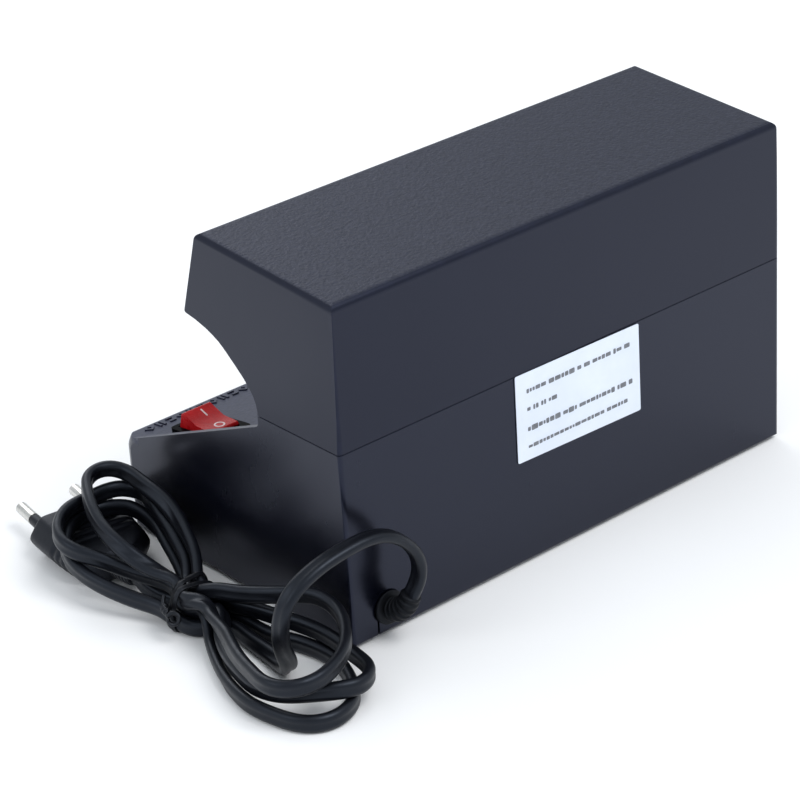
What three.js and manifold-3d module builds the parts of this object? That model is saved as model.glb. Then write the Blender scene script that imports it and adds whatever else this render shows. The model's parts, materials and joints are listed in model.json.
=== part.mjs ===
// Counter-top banknote checker: a hooded ultraviolet viewer with a sloping
// desk, a rocker switch, a 4 W lamp and a tied mains lead.
// Units are millimetres. +X is the switch end, +Y the rear, +Z up.
// The origin is the centre of the box of the unit without its lead, on the counter.
import * as THREE from 'three';
import { mergeVertices } from 'three/addons/utils/BufferGeometryUtils.js';
import Module from 'manifold-3d';

// ---------------------------------------------------------------- dimensions
const LENGTH = 180;            // housing length along X at the parting line
const DEPTH_REAR = 52.8;       // rear wall, Y
const DEPTH_FRONT = -55.8;     // front of the desk, Y
const CENTRE_SHIFT = 1.3;      // moves the unit so that its box is centred on Y = 0
const FOOT = 1.2;              // how far the rubber feet stand proud
const PART_Z = 63.8;           // parting line between the two shells
const TOP_REAR_Z = 109.6;      // hood top at the rear edge
const TOP_FRONT_Z = 113.7;     // hood top at the front edge
const TOP_FRONT_Y = -7.9;      // front edge of the hood top
const LIP_Y = -15.9;           // lower edge of the leaning hood front
const LIP_Z = 86.5;
const WALL = 2.5;              // shell wall
const TOP_INSET = 1.3;         // draft of the hood ends over its height
const PARTITION_Y = 16.3;      // rear wall of the viewing space
const PARTITION_T = 2.5;
const DESK_FRONT_Z = 31.6;     // top of the desk at its front edge
const DESK_ANGLE = 8.5;          // degrees, rises to the rear
const CHEEK_LOW = [-43.3, 35.2];   // [Y, Z] a point on the rising edge of the end cheeks
const CHEEK_REAR = [14.5, 59.6];    // [Y, Z] where they reach the hood
const SEAM = 0.3;              // gap between parts that touch
const CORD_W = 5.6;            // flat twin lead, width
const CORD_T = 3.6;            // flat twin lead, thickness
const SWITCH_X = 73.3;         // rocker switch centre
const SWITCH_S = 24.6;         // its distance up the desk from the front edge
const LAMP_Y = 3.2, LAMP_Z = 96.2;  // lamp axis
const LAMP_HALF = 67.95;       // half the distance between the lamp's base faces
const LAMP_R = 8;              // T5 tube, 16 mm across
const RELIEF_X = 76;           // where the lead leaves the rear wall
const RELIEF_Z = 9.4;

const wasm = await Module();
wasm.setup();
const HALF = LENGTH / 2;
const rad = THREE.MathUtils.degToRad;
const DESK = rad(DESK_ANGLE);

// ---------------------------------------------------------------- helpers
function solid(geometry) {
  const g = geometry.clone();
  for (const name of Object.keys(g.attributes)) if (name !== 'position') g.deleteAttribute(name);
  const m = mergeVertices(g, 1e-5);
  return new wasm.Manifold(new wasm.Mesh({
    numProp: 3,
    vertProperties: new Float32Array(m.attributes.position.array),
    triVerts: new Uint32Array(m.index.array),
  }));
}
function toGeometry(manifold) {
  const mesh = manifold.getMesh();
  const g = new THREE.BufferGeometry();
  g.setAttribute('position', new THREE.BufferAttribute(new Float32Array(mesh.vertProperties), 3));
  g.setIndex(new THREE.BufferAttribute(new Uint32Array(mesh.triVerts), 1));
  g.computeVertexNormals();
  return g;
}
const join = (...list) => list.map(asSolid).reduce((a, b) => a.add(b));
const cut = (base, ...tools) => tools.map(asSolid).reduce((a, b) => a.subtract(b), asSolid(base));
const common = (...list) => list.map(asSolid).reduce((a, b) => a.intersect(b));
function asSolid(x) { return x.isBufferGeometry ? solid(x) : x; }

// a closed outline with each corner rounded by its own radius
function outline(points) {
  const shape = new THREE.Shape();
  const n = points.length;
  points.forEach(([x, y, r = 0], i) => {
    const [px, py] = points[(i + n - 1) % n];
    const [qx, qy] = points[(i + 1) % n];
    const a = new THREE.Vector2(px - x, py - y), b = new THREE.Vector2(qx - x, qy - y);
    if (!r) { i ? shape.lineTo(x, y) : shape.moveTo(x, y); return; }
    const half = Math.acos(THREE.MathUtils.clamp(a.clone().normalize().dot(b.clone().normalize()), -1, 1)) / 2;
    const d = Math.min(r / Math.tan(half), a.length() * 0.49, b.length() * 0.49);
    const s = a.clone().setLength(d), e = b.clone().setLength(d);
    if (i) shape.lineTo(x + s.x, y + s.y); else shape.moveTo(x + s.x, y + s.y);
    shape.quadraticCurveTo(x, y, x + e.x, y + e.y);
  });
  shape.closePath();
  return shape;
}
const flat = { bevelEnabled: false, steps: 1 };
// outline in (Y, Z), extruded along X from x0 to x1
function alongX(points, x0, x1, segments = 5) {
  const g = new THREE.ExtrudeGeometry(outline(points), { ...flat, depth: x1 - x0, curveSegments: segments });
  g.applyMatrix4(new THREE.Matrix4().makeBasis(
    new THREE.Vector3(0, 1, 0), new THREE.Vector3(0, 0, 1), new THREE.Vector3(1, 0, 0)));
  return g.translate(x0, 0, 0);
}
// outline in (X, Z), extruded along Y from y0 to y1
function alongY(points, y0, y1, segments = 5) {
  const g = new THREE.ExtrudeGeometry(outline(points), { ...flat, depth: y1 - y0, curveSegments: segments });
  g.applyMatrix4(new THREE.Matrix4().makeBasis(
    new THREE.Vector3(1, 0, 0), new THREE.Vector3(0, 0, 1), new THREE.Vector3(0, -1, 0)));
  return g.translate(0, y1, 0);
}
// outline in (X, Y), extruded along Z from z0 to z1
function alongZ(points, z0, z1, segments = 5) {
  return new THREE.ExtrudeGeometry(outline(points), { ...flat, depth: z1 - z0, curveSegments: segments })
    .translate(0, 0, z0);
}
function box(x0, x1, y0, y1, z0, z1) {
  return new THREE.BoxGeometry(x1 - x0, y1 - y0, z1 - z0)
    .translate((x0 + x1) / 2, (y0 + y1) / 2, (z0 + z1) / 2);
}
function rodZ(x, y, r, z0, z1, n = 16, r1 = r) {
  return new THREE.CylinderGeometry(r1, r, z1 - z0, n).rotateX(Math.PI / 2).translate(x, y, (z0 + z1) / 2);
}
function rodX(y, z, r, x0, x1, n = 16) {
  return new THREE.CylinderGeometry(r, r, x1 - x0, n).rotateZ(-Math.PI / 2).translate((x0 + x1) / 2, y, z);
}
function rodY(x, z, r, y0, y1, n = 16) {
  return new THREE.CylinderGeometry(r, r, y1 - y0, n).translate(x, (y0 + y1) / 2, z);
}
// profile of [radius, height] pairs turned about Z; it starts and ends on the axis
function turned(profile, n = 16) {
  return new THREE.LatheGeometry(profile.map(([r, z]) => new THREE.Vector2(r, z)), n).rotateX(Math.PI / 2);
}
// a straight rod between two points
function rod(a, b, r, n = 12, r1 = r) {
  const A = new THREE.Vector3(...a), B = new THREE.Vector3(...b);
  const g = new THREE.CylinderGeometry(r1, r, A.distanceTo(B), n);
  g.applyQuaternion(new THREE.Quaternion().setFromUnitVectors(
    new THREE.Vector3(0, 1, 0), B.clone().sub(A).normalize()));
  const m = A.clone().add(B).multiplyScalar(0.5);
  return g.translate(m.x, m.y, m.z);
}
// an oval section swept along a smooth curve
function swept(points, w, t, steps, sides = 10, tension = 0.5) {
  const curve = new THREE.CatmullRomCurve3(points.map((p) => new THREE.Vector3(...p)), false, 'centripetal', tension);
  const s = new THREE.Shape();
  for (let i = 0; i < sides; i++) {
    const a = (i / sides) * Math.PI * 2;
    const x = Math.cos(a) * w / 2, y = Math.sin(a) * t / 2;
    i ? s.lineTo(x, y) : s.moveTo(x, y);
  }
  s.closePath();
  return new THREE.ExtrudeGeometry(s, { steps, extrudePath: curve, bevelEnabled: false, curveSegments: 1 });
}

// round sections of given radii lofted along a polyline; both ends are capped
function lofted(path, radii, n = 14) {
  const P = path.map((p) => new THREE.Vector3(...p));
  const pos = [], idx = [];
  let up = new THREE.Vector3(1, 0, 0);
  P.forEach((p, i) => {
    const t = P[Math.min(i + 1, P.length - 1)].clone().sub(P[Math.max(i - 1, 0)]).normalize();
    up = up.clone().addScaledVector(t, -up.dot(t)).normalize();
    const side = t.clone().cross(up);
    for (let k = 0; k < n; k++) {
      const a = (k / n) * Math.PI * 2;
      const v = p.clone().addScaledVector(up, Math.cos(a) * radii[i]).addScaledVector(side, Math.sin(a) * radii[i]);
      pos.push(v.x, v.y, v.z);
    }
  });
  const last = (P.length - 1) * n, c0 = P.length * n, c1 = c0 + 1;
  pos.push(...P[0].toArray(), ...P[P.length - 1].toArray());
  for (let i = 0; i < P.length - 1; i++) for (let k = 0; k < n; k++) {
    const a = i * n + k, b = i * n + (k + 1) % n;
    idx.push(a, b, b + n, a, b + n, a + n);
  }
  for (let k = 0; k < n; k++) {
    idx.push(c0, (k + 1) % n, k);
    idx.push(c1, last + k, last + (k + 1) % n);
  }
  const g = new THREE.BufferGeometry();
  g.setAttribute('position', new THREE.BufferAttribute(new Float32Array(pos), 3));
  g.setIndex(idx);
  g.computeVertexNormals();
  return g;
}

// ---------------------------------------------------------------- scene graph
const root = new THREE.Group();
const unit = new THREE.Group();
unit.position.y = CENTRE_SHIFT;
root.add(unit);
const MAT = {
  shell: [0x24262e, 0.45, 0], shellTop: [0x24262e, 0.6, 0], cover: [0x1d1f25, 0.6, 0],
  rubber: [0x151515, 0.9, 0], screw: [0x8b8d90, 0.35, 1], black: [0x101114, 0.35, 0],
  red: [0xc4181c, 0.3, 0], brass: [0xb08a3c, 0.35, 1], glass: [0xe9ecf4, 0.1, 0],
  alu: [0xc9ccd0, 0.35, 1], white: [0xe6e4dc, 0.5, 0], board: [0x7a5a2c, 0.6, 0],
  ferrite: [0x2b2c2e, 0.7, 0], sleeve: [0x1f2b45, 0.45, 0], film: [0x9a3b25, 0.45, 0],
  plating: [0xbfc2c6, 0.25, 1], paper: [0xecebe6, 0.8, 0], cord: [0x15161a, 0.45, 0],
  blue: [0x2d5fa8, 0.5, 0], brown: [0x6d4327, 0.5, 0], wire: [0xd7d7d2, 0.5, 0],
  fuseGlass: [0xdfe7e6, 0.1, 0],
};
function add(name, shape, mat, parent = unit) {
  const [color, roughness, metalness] = MAT[mat];
  const mesh = new THREE.Mesh(shape.isBufferGeometry ? shape : toGeometry(shape),
    new THREE.MeshStandardMaterial({ color, roughness, metalness }));
  mesh.name = name;
  parent.add(mesh);
  return mesh;
}

// ---------------------------------------------------------------- desk frame
// local desk coordinates: x along X, s up the slope from the front edge, n away from the surface
const deskFront = new THREE.Vector3(0, DEPTH_FRONT, DESK_FRONT_Z);
const deskZ = (y) => DESK_FRONT_Z + (y - DEPTH_FRONT) * Math.tan(DESK);
function onDesk(geometry) {           // local (x, s, n) -> world
  return geometry.rotateX(DESK).translate(deskFront.x, deskFront.y, deskFront.z);
}

// ---------------------------------------------------------------- lower shell
const floorZ = FOOT;
const cheekSlope = (CHEEK_REAR[1] - CHEEK_LOW[1]) / (CHEEK_REAR[0] - CHEEK_LOW[0]);
const cheekAt = (y) => CHEEK_LOW[1] + (y - CHEEK_LOW[0]) * cheekSlope;
// where the cheeks part from the desk surface
const cheekStart = (CHEEK_LOW[1] - CHEEK_LOW[0] * cheekSlope - DESK_FRONT_Z + DEPTH_FRONT * Math.tan(DESK)) /
  (Math.tan(DESK) - cheekSlope);
const lowTop = PART_Z - SEAM / 2;
// the end outline: flush with the desk at the front, then a straight rising cheek
const lowerSide = [
  [DEPTH_REAR, floorZ, 0.8], [DEPTH_REAR, lowTop], [PARTITION_Y, lowTop],
  [PARTITION_Y, cheekAt(PARTITION_Y), 3.2],
  [cheekStart, deskZ(cheekStart)],
  [DEPTH_FRONT, DESK_FRONT_Z, 2.4], [DEPTH_FRONT, floorZ, 0.8],
].reverse();
const planCorners = (inset) => [
  [HALF - inset, DEPTH_REAR, 1.6], [-HALF + inset, DEPTH_REAR, 1.6],
  [-HALF + inset, DEPTH_FRONT, 6.5], [HALF - inset, DEPTH_FRONT, 6.5],
];
let lower = common(
  alongX(lowerSide, -HALF, HALF, 5),
  alongZ(planCorners(0), 0, 70, 6),
  alongY([[HALF, 80], [-HALF, 80], [-HALF + 0.3, floorZ, 0.8], [HALF - 0.3, floorZ, 0.8]], -62, 62, 3),
);
// the two front corners roll over towards the top of the desk
{
  const e = 0.05;
  const plan = (r) => [[HALF + 2, DEPTH_REAR + 9], [-HALF - 2, DEPTH_REAR + 9], [-HALF - 2, -30], [-HALF - e, -31],
    [-HALF - e, DEPTH_FRONT - e, r], [HALF + e, DEPTH_FRONT - e, r], [HALF + e, -31], [HALF + 2, -30]];
  const slice = (r, z) => solid(alongZ(plan(r), z, z + 0.02, 7));
  const steps = [[6.4, 26], [6.7, 28.4], [7.5, 29.9], [8.8, 31.1], [10.4, 32.1], [12.2, 32.9]];
  let tool = join(alongZ(plan(6.4), -5, 26, 7), alongZ(plan(12.2), 32.9, 90, 7));
  for (let i = 1; i < steps.length; i++)
    for (const side of [1, -1]) {
      const half = (m) => common(m, box(side > 0 ? 0 : -120, side > 0 ? 120 : 0, -90, -32, -10, 100));
      tool = join(tool, wasm.Manifold.hull([half(slice(...steps[i - 1])), half(slice(steps[i][0], steps[i][1]))]));
    }
  tool = join(tool, box(-HALF - 2, HALF + 2, -32, DEPTH_REAR + 9, -5, 90));
  lower = common(lower, tool);
}
// hollow of the rear bay, open at the parting line and at the bottom
const IN = HALF - WALL;
const rearIn = DEPTH_REAR - WALL;
const bayFront = PARTITION_Y + PARTITION_T;
lower = cut(lower, box(-IN, IN, bayFront, rearIn, -2, 70));
// the space over the desk between the cheeks
lower = cut(lower, alongX([
  [PARTITION_Y, deskZ(PARTITION_Y), 1.2], [PARTITION_Y, 90], [-64, 90], [-64, 60],
  [cheekStart - 1, deskZ(cheekStart - 1)],
].reverse(), -IN, IN, 4));
// hollow under the desk, open at the bottom
lower = cut(lower, alongX([
  [bayFront + 1, -2], [bayFront + 1, deskZ(bayFront + 1) - WALL * 1.05], [DEPTH_FRONT + WALL, deskZ(DEPTH_FRONT + WALL) - WALL * 1.05, 1.5],
  [DEPTH_FRONT + WALL, -2],
].reverse(), -IN, IN, 3));

// switch opening in the desk
const switchGap = (w, l, n0, n1) => onDesk(box(SWITCH_X - w / 2, SWITCH_X + w / 2,
  SWITCH_S - l / 2, SWITCH_S + l / 2, n0, n1));
lower = cut(lower, switchGap(13.4, 19.2, -6, 3));
// lead hole in the rear wall
lower = cut(lower, rodY(RELIEF_X, RELIEF_Z, 4.8, 48, 56, 20));
// assembly slit from the lead hole down to the edge of the wall
lower = cut(lower, box(79.7, 80.4, DEPTH_REAR - 3.4, DEPTH_REAR + 1, 0, 7.2));
// lamp lead notch at the top of the partition
lower = cut(lower, box(79.4, 83.4, PARTITION_Y - 1, bayFront + 1, 58.6, 70));

// screw posts that take the long hood screws
const postXY = [[80.5, 24.4], [50, 44.0], [-80.5, 24.4], [-50, 44.0]];
for (const [x, y] of postXY) {
  lower = join(lower, cut(rodZ(x, y, 4.6, 3.9, lowTop, 16), rodZ(x, y, 3.3, 2, 52, 14), rodZ(x, y, 1.75, 40, 70, 12)));
  lower = join(lower, y > 40 ? box(x - 0.8, x + 0.8, y + 4.2, rearIn + 0.6, 8, lowTop)
    : x > 0 ? box(x + 4.2, IN + 0.6, y - 0.8, y + 0.8, 8, lowTop) : box(-IN - 0.6, x - 4.2, y - 0.8, y + 0.8, 8, lowTop));
}
// bosses for the bottom cover screws
const coverXY = [[79.5, -42.0], [-79.5, -42.0], [0, -42.0], [0, 44.5]];
for (const [x, y] of coverXY) {
  const wallY = y < 0 ? DEPTH_FRONT + WALL - 0.6 : rearIn + 0.6;
  lower = join(lower,
    cut(join(rodZ(x, y, 3.8, 3.9, 16, 14),
      box(x - 0.9, x + 0.9, Math.min(y, wallY), Math.max(y, wallY), 3.9, 16)),
    rodZ(x, y, 1.6, 0, 13, 12)));
}
// row of plain raised marks along the front of the desk: pairs of bars, lozenges and dots
{
  const lozenge = (x, r) => alongZ([[x + r, 4.6], [x, 4.6 + r * 1.15], [x - r, 4.6], [x, 4.6 - r * 1.15]], -0.4, 0.42, 1);
  for (let i = 0; i < 41; i++) {
    const x = -82 + i * 4.1;
    const raised = i % 3 === 0 ? [box(x - 1.25, x - 0.55, 2.7, 6.5, -0.4, 0.42), box(x + 0.35, x + 1.05, 2.7, 6.5, -0.4, 0.42)]
      : i % 3 === 1 ? [cut(lozenge(x, 1.85), lozenge(x, 0.85).scale(1, 1, 3))]
        : [box(x - 1.1, x + 1.1, 5.5, 6.3, -0.4, 0.42), box(x - 1.1, x + 1.1, 2.9, 3.7, -0.4, 0.42)];
    for (const m of raised) lower = join(lower, onDesk(m.isBufferGeometry ? m : toGeometry(m)));
  }
}
add('lower_shell', lower, 'shell');

// ---------------------------------------------------------------- upper shell
const upBottom = PART_Z + SEAM / 2;
const curve = [   // concave cut-out of the end faces, from the lip to the parting line
  [LIP_Y, LIP_Z, 0.8], [-10.6, 85.6], [-6.0, 84.4], [-2.8, 83.2], [-0.2, 82.0], [1.9, 80.7], [3.8, 79.3], [7.1, 76.8], [10.4, 74.2],
  [12.9, 71.8], [14.7, 69.6], [15.8, 67.3], [PARTITION_Y, 65.3], [PARTITION_Y, upBottom],
];
const upperSide = [
  ...curve, [DEPTH_REAR, upBottom], [DEPTH_REAR, TOP_REAR_Z, 2.6], [TOP_FRONT_Y, TOP_FRONT_Z, 3.0],
];
const inset = (z) => TOP_INSET * (z - PART_Z) / (TOP_FRONT_Z - PART_Z);
let upper = common(
  alongX(upperSide, -HALF, HALF, 6),
  alongZ([[HALF, DEPTH_REAR, 1.6], [-HALF, DEPTH_REAR, 1.6], [-HALF, LIP_Y - 1], [HALF, LIP_Y - 1]], 50, 120, 4),
  alongY([[HALF, 60], [HALF - inset(110), 110], [HALF - inset(110), 110], [HALF - inset(116), 130],
    [-HALF + inset(116), 130], [-HALF + inset(110), 110], [-HALF, 60]]
    .filter((p, i, a) => !i || p[0] !== a[i - 1][0] || p[1] !== a[i - 1][1]), -60, 60, 3),
);
// round the top end edges, front to rear, along the sloping top
const topAngle = Math.atan2(TOP_FRONT_Z - TOP_REAR_Z, DEPTH_REAR - TOP_FRONT_Y);
{
  const w = HALF - TOP_INSET;
  const g = new THREE.ExtrudeGeometry(outline([[w + 4, -70], [w + 0.02, 0, 2.6], [-w - 0.02, 0, 2.6], [-w - 4, -70]].reverse()),
    { ...flat, depth: 200, curveSegments: 5 });
  g.applyMatrix4(new THREE.Matrix4().makeBasis(
    new THREE.Vector3(1, 0, 0), new THREE.Vector3(0, 0, 1), new THREE.Vector3(0, -1, 0)));
  g.translate(0, 100, 0);
  g.rotateX(-topAngle);
  g.translate(0, TOP_FRONT_Y, TOP_FRONT_Z);
  upper = common(upper, g);
}
const topIn = (y) => TOP_REAR_Z + (DEPTH_REAR - y) * Math.tan(topAngle) - WALL;
const inUp = HALF - WALL - TOP_INSET;
// rear bay
upper = cut(upper, alongX([
  [bayFront, 60], [rearIn, 60], [rearIn, topIn(rearIn), 1], [bayFront, topIn(bayFront), 1],
], -inUp, inUp, 3));
// lamp bay, open below
const lean = (TOP_FRONT_Y - LIP_Y) / (TOP_FRONT_Z - LIP_Z);
const frontIn = (z) => LIP_Y + (z - LIP_Z) * lean + WALL * 1.04;
upper = cut(upper, alongX([
  [frontIn(60), 60], [PARTITION_Y, 60], [PARTITION_Y, topIn(PARTITION_Y), 1],
  [frontIn(topIn(-6)), topIn(-6), 1],
], -inUp, inUp, 3));
// lamp lead holes through the partition
for (const x of [81.4, -81.4]) upper = cut(upper, rodY(x, 99, 2.4, PARTITION_Y - 1, bayFront + 1, 12));
// bosses for the hood screws
for (const [x, y] of postXY) {
  upper = join(upper, cut(rodZ(x, y, 3.8, upBottom, 84, 14), rodZ(x, y, 1.6, 60, 80, 12)));
  upper = join(upper, y > 40 ? box(x - 0.8, x + 0.8, y + 3.4, rearIn + 0.6, upBottom, 84)
    : x > 0 ? box(x + 3.4, inUp + 1.4, y - 0.8, y + 0.8, upBottom, 84) : box(-inUp - 1.4, x - 3.4, y - 0.8, y + 0.8, upBottom, 84));
}
// bosses under the top that carry the reflector
const reflectXY = [[-46, LAMP_Y], [46, LAMP_Y]];
for (const [x, y] of reflectXY) {
  upper = join(upper, cut(rodZ(x, y, 3, 107.6, 111.5, 14), rodZ(x, y, 1.3, 100, 110.4, 12)));
}
// ribs that hold the lamp holders: a pad on the top wall at each end
for (const s of [-1, 1]) {
  const x0 = s > 0 ? LAMP_HALF + 1.2 : -LAMP_HALF - 9.2;
  upper = join(upper, box(x0, x0 + 8, LAMP_Y - 6, LAMP_Y + 6, 108.4, 111.5));
}
add('upper_shell', upper, 'shellTop');

// ---------------------------------------------------------------- bottom cover
const COVER_T = 2.4;
let cover = alongZ([
  [IN - 0.5, rearIn - 0.5, 1.2], [-IN + 0.5, rearIn - 0.5, 1.2],
  [-IN + 0.5, DEPTH_FRONT + WALL + 0.5, 4], [IN - 0.5, DEPTH_FRONT + WALL + 0.5, 4],
], floorZ, floorZ + COVER_T, 4);
const footXY = [[78, 43.5], [-78, 43.5], [68, -40], [-68, -40]];
cover = cut(cover,
  ...postXY.map(([x, y]) => rodZ(x, y, 3.4, 0, 6, 14)),
  ...coverXY.map(([x, y]) => rodZ(x, y, 1.9, 0, 6, 12)),
  ...coverXY.map(([x, y]) => rodZ(x, y, 3.1, 0, floorZ + 1.2, 12)),
  ...footXY.map(([x, y]) => rodZ(x, y, 5.8, 0, floorZ + 0.8, 24)),
  ...[-2, -1, 0, 1, 2].map((i) => box(-45 + i * 7 - 1.2, -45 + i * 7 + 1.2, -2, 22, 0, 6)));
// four pillars for the circuit board
const boardXY = [[-22, -26], [38, -26], [-22, 8], [38, 8]];
for (const [x, y] of boardXY) {
  cover = join(cover, cut(rodZ(x, y, 3, floorZ + 1, 11.4, 14), rodZ(x, y, 1.2, 5.2, 12, 10)));
}
add('bottom_cover', cover, 'cover');

footXY.forEach(([x, y], i) => add(`rubber_foot_${i + 1}`,
  turned([[0, 0], [5.0, 0], [5.4, 0.5], [5.4, floorZ + 0.5], [0, floorZ + 0.5]], 20).translate(x, y, 0), 'rubber'));

// a cross-recessed screw, head down: head from z0, shank up to z1
function screwUp(x, y, z0, headR, headH, shankR, z1, n = 14) {
  const body = turned([[0, z0], [headR * 0.72, z0], [headR, z0 + headH * 0.45], [headR, z0 + headH], [shankR, z0 + headH],
    [shankR, z1 - shankR], [0, z1]], n).translate(x, y, 0);
  return cut(body, box(x - headR * 0.5, x + headR * 0.5, y - 0.35, y + 0.35, z0 - 1, z0 + headH * 0.55),
    box(x - 0.35, x + 0.35, y - headR * 0.5, y + headR * 0.5, z0 - 1, z0 + headH * 0.55));
}
coverXY.forEach(([x, y], i) => add(`cover_screw_${i + 1}`,
  screwUp(x, y, floorZ - 0.6 + 0.15, 2.8, 1.35, 1.3, 12), 'screw'));
postXY.forEach(([x, y], i) => add(`hood_screw_${i + 1}`,
  screwUp(x, y, 49.6, 2.8, 2.1, 1.3, 76), 'screw'));

// ---------------------------------------------------------------- rocker switch
// local coordinates of the switch: centre of its flange, n = 0 on the desk surface
const PIVOT_N = -0.3, TILT = rad(16);
{
  let h = join(
    onDesk(alongZ([[-7.6, -10.6, 2], [7.6, -10.6, 2], [7.6, 12.2, 2], [-7.6, 12.2, 2]]
      .map(([x, s, r]) => [x + SWITCH_X, s + SWITCH_S, r]), SEAM, 1.9, 4)),
    switchGap(12.7, 18.5, -14, 1));
  h = cut(h, switchGap(10.9, 17.5, -6.2, 4));
  h = cut(h, onDesk(rodX(SWITCH_S, PIVOT_N, 1.3, SWITCH_X - 6.05, SWITCH_X + 6.05, 24)));
  // terminals pass through the floor
  for (const ds of [-4.5, 2.5]) h = cut(h, switchGap(5.4, 1.4, -20, -4).translate(0, ds * Math.cos(DESK), ds * Math.sin(DESK)));
  add('switch_housing', h, 'black');
}
{
  // rocker profile (s, n) about its pivot, both halves alike
  const half = [[0, 4.2], [6.9, 5.5, 1.1], [7.6, 4.9, 0.4], [8.0, 2.2], [8.2, 0], [7.8, -2.4], [3, -3.4]];
  const pts = [...half.map(([a, b, r]) => [a, b, r || 0]),
    ...half.slice(1).reverse().map(([a, b, r]) => [-a, b, r || 0])].reverse();
  const g = alongX(pts, -5.2, 5.2, 3);
  let r = join(g, rodX(0, 0, 1.2, -5.95, 5.95, 24));
  let geo = toGeometry(r);
  geo.rotateX(-TILT);                       // rest: front half raised, rear half down
  geo.translate(SWITCH_X, SWITCH_S, PIVOT_N);
  add('switch_rocker', onDesk(geo), 'red');
}
[-4.5, 2.5].forEach((ds, i) => add(`switch_terminal_${i + 1}`,
  onDesk(box(SWITCH_X - 2.4, SWITCH_X + 2.4, SWITCH_S + ds - 0.4, SWITCH_S + ds + 0.4, -21, -6.6)), 'brass'));

// ---------------------------------------------------------------- lamp
const lampSeg = 20;
add('lamp_tube', cut(rodX(LAMP_Y, LAMP_Z, LAMP_R - 0.3, -LAMP_HALF + 8, LAMP_HALF - 8, lampSeg),
  rodX(LAMP_Y, LAMP_Z, LAMP_R - 1.2, -LAMP_HALF + 7, LAMP_HALF - 9, lampSeg)), 'glass');
for (const [s, name] of [[1, 'right'], [-1, 'left']]) {
  const a = s > 0 ? LAMP_HALF - 7.7 : -LAMP_HALF, b = s > 0 ? LAMP_HALF : -LAMP_HALF + 7.7;
  let cap = rodX(LAMP_Y, LAMP_Z, LAMP_R, a, b, lampSeg);
  for (const dy of [-2.4, 2.4]) cap = cut(cap, rodX(LAMP_Y + dy, LAMP_Z, 1.4, a - 1, b + 1, 10));
  add(`lamp_cap_${name}`, cap, 'alu');
  [-2.4, 2.4].forEach((dy, i) => {
    const x0 = s > 0 ? LAMP_HALF - 5 : -LAMP_HALF - 6.4, x1 = s > 0 ? LAMP_HALF + 6.4 : -LAMP_HALF + 5;
    add(`lamp_pin_${name}_${i + 1}`, rodX(LAMP_Y + dy, LAMP_Z, 1.1, x0, x1, 10), 'plating');
  });
  // holder: upright block with a round socket and a slot down to the lamp side
  const h0 = s > 0 ? LAMP_HALF + 0.6 : -LAMP_HALF - 9.2, h1 = s > 0 ? LAMP_HALF + 9.2 : -LAMP_HALF - 0.6;
  let holder = alongX([[LAMP_Y + 8, 108.1], [LAMP_Y - 8, 108.1], [LAMP_Y - 8, 91.6, 3], [LAMP_Y - 5, 87.1, 2], [LAMP_Y + 5, 87.1, 2], [LAMP_Y + 8, 91.6, 3]].reverse(), h0, h1, 3);
  const f0 = s > 0 ? h0 - 1 : h1 - 7.2, f1 = s > 0 ? h0 + 7.2 : h1 + 1;
  holder = cut(holder, rodX(LAMP_Y, LAMP_Z, 4.1, f0, f1, 20),
    box(f0, f1, LAMP_Y - 1.5, LAMP_Y + 1.5, 86, LAMP_Z));
  add(`lamp_holder_${name}`, holder, 'white');
}
// folded reflector above the lamp
{
  const t = 0.6, pts = [[-8.2, 91.5], [-4.6, 106.9], [8.4 + 2.4, 106.9], [13.6, 91.5]];
  const inner = [[13.0, 91.35], [10.3, 106.3], [-4.1, 106.3], [-7.6, 91.35]];
  const g = alongX([...pts, ...inner].reverse(), -60, 60, 1);
  add('lamp_reflector', cut(g, ...reflectXY.map(([x, y]) => rodZ(x, y, 1.7, 104, 109, 12))), 'alu');
}
reflectXY.forEach(([x, y], i) => {
  const s = turned([[0, 0], [0.9, 0], [2.6, -0.0], [2.6, 1.2], [1.0, 1.2], [1.0, 4.4], [0, 4.4]]
    .filter((p, k) => k !== 1), 12);
  add(`reflector_screw_${i + 1}`, s.translate(x, y, 104.8 + 0.0), 'screw');
});

// ---------------------------------------------------------------- ballast board
const BZ = 11.7, BT = 1.6, TOP = BZ + BT + 0.3;
add('ballast_board', cut(box(-27, 43, -31, 13, BZ, BZ + BT), ...boardXY.map(([x, y]) => rodZ(x, y, 1.6, 8, 16, 10))), 'board');
boardXY.forEach(([x, y], i) => add(`board_screw_${i + 1}`,
  turned([[0, 6.6], [0.9, 6.6], [0.9, TOP], [2.4, TOP], [2.4, TOP + 1.3], [0, TOP + 1.3]], 12).translate(x, y, 0), 'screw'));
{
  const x = -6, y = -9;
  let core = box(x - 8, x + 8, y - 9, y + 9, TOP, TOP + 13);
  core = cut(core, box(x - 9, x + 9, y - 5.6, y - 2.9, TOP + 2.4, TOP + 10.6), box(x - 9, x + 9, y + 2.9, y + 5.6, TOP + 2.4, TOP + 10.6));
  add('choke_core', core, 'ferrite');
  let coil = cut(box(x - 11.4, x + 11.4, y - 5.3, y + 5.3, TOP + 2.7, TOP + 10.3),
    box(x - 8.3, x + 8.3, y - 3.2, y + 3.2, TOP, TOP + 14));
  coil = cut(coil, box(x - 8.3, x + 8.3, y - 3.2, y + 3.2, TOP + 2, TOP + 11));
  add('choke_winding', coil, 'brass');
}
add('filter_capacitor', cut(turned([[0, TOP], [5, TOP], [5, TOP + 1.2], [4.8, TOP + 1.8], [5, TOP + 2.4], [5, TOP + 14], [4.4, TOP + 14.6], [0, TOP + 14.6]], 18),
  box(-3, 3, -0.3, 0.3, TOP + 14, TOP + 16)).translate(16, 2, 0), 'sleeve');
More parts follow.
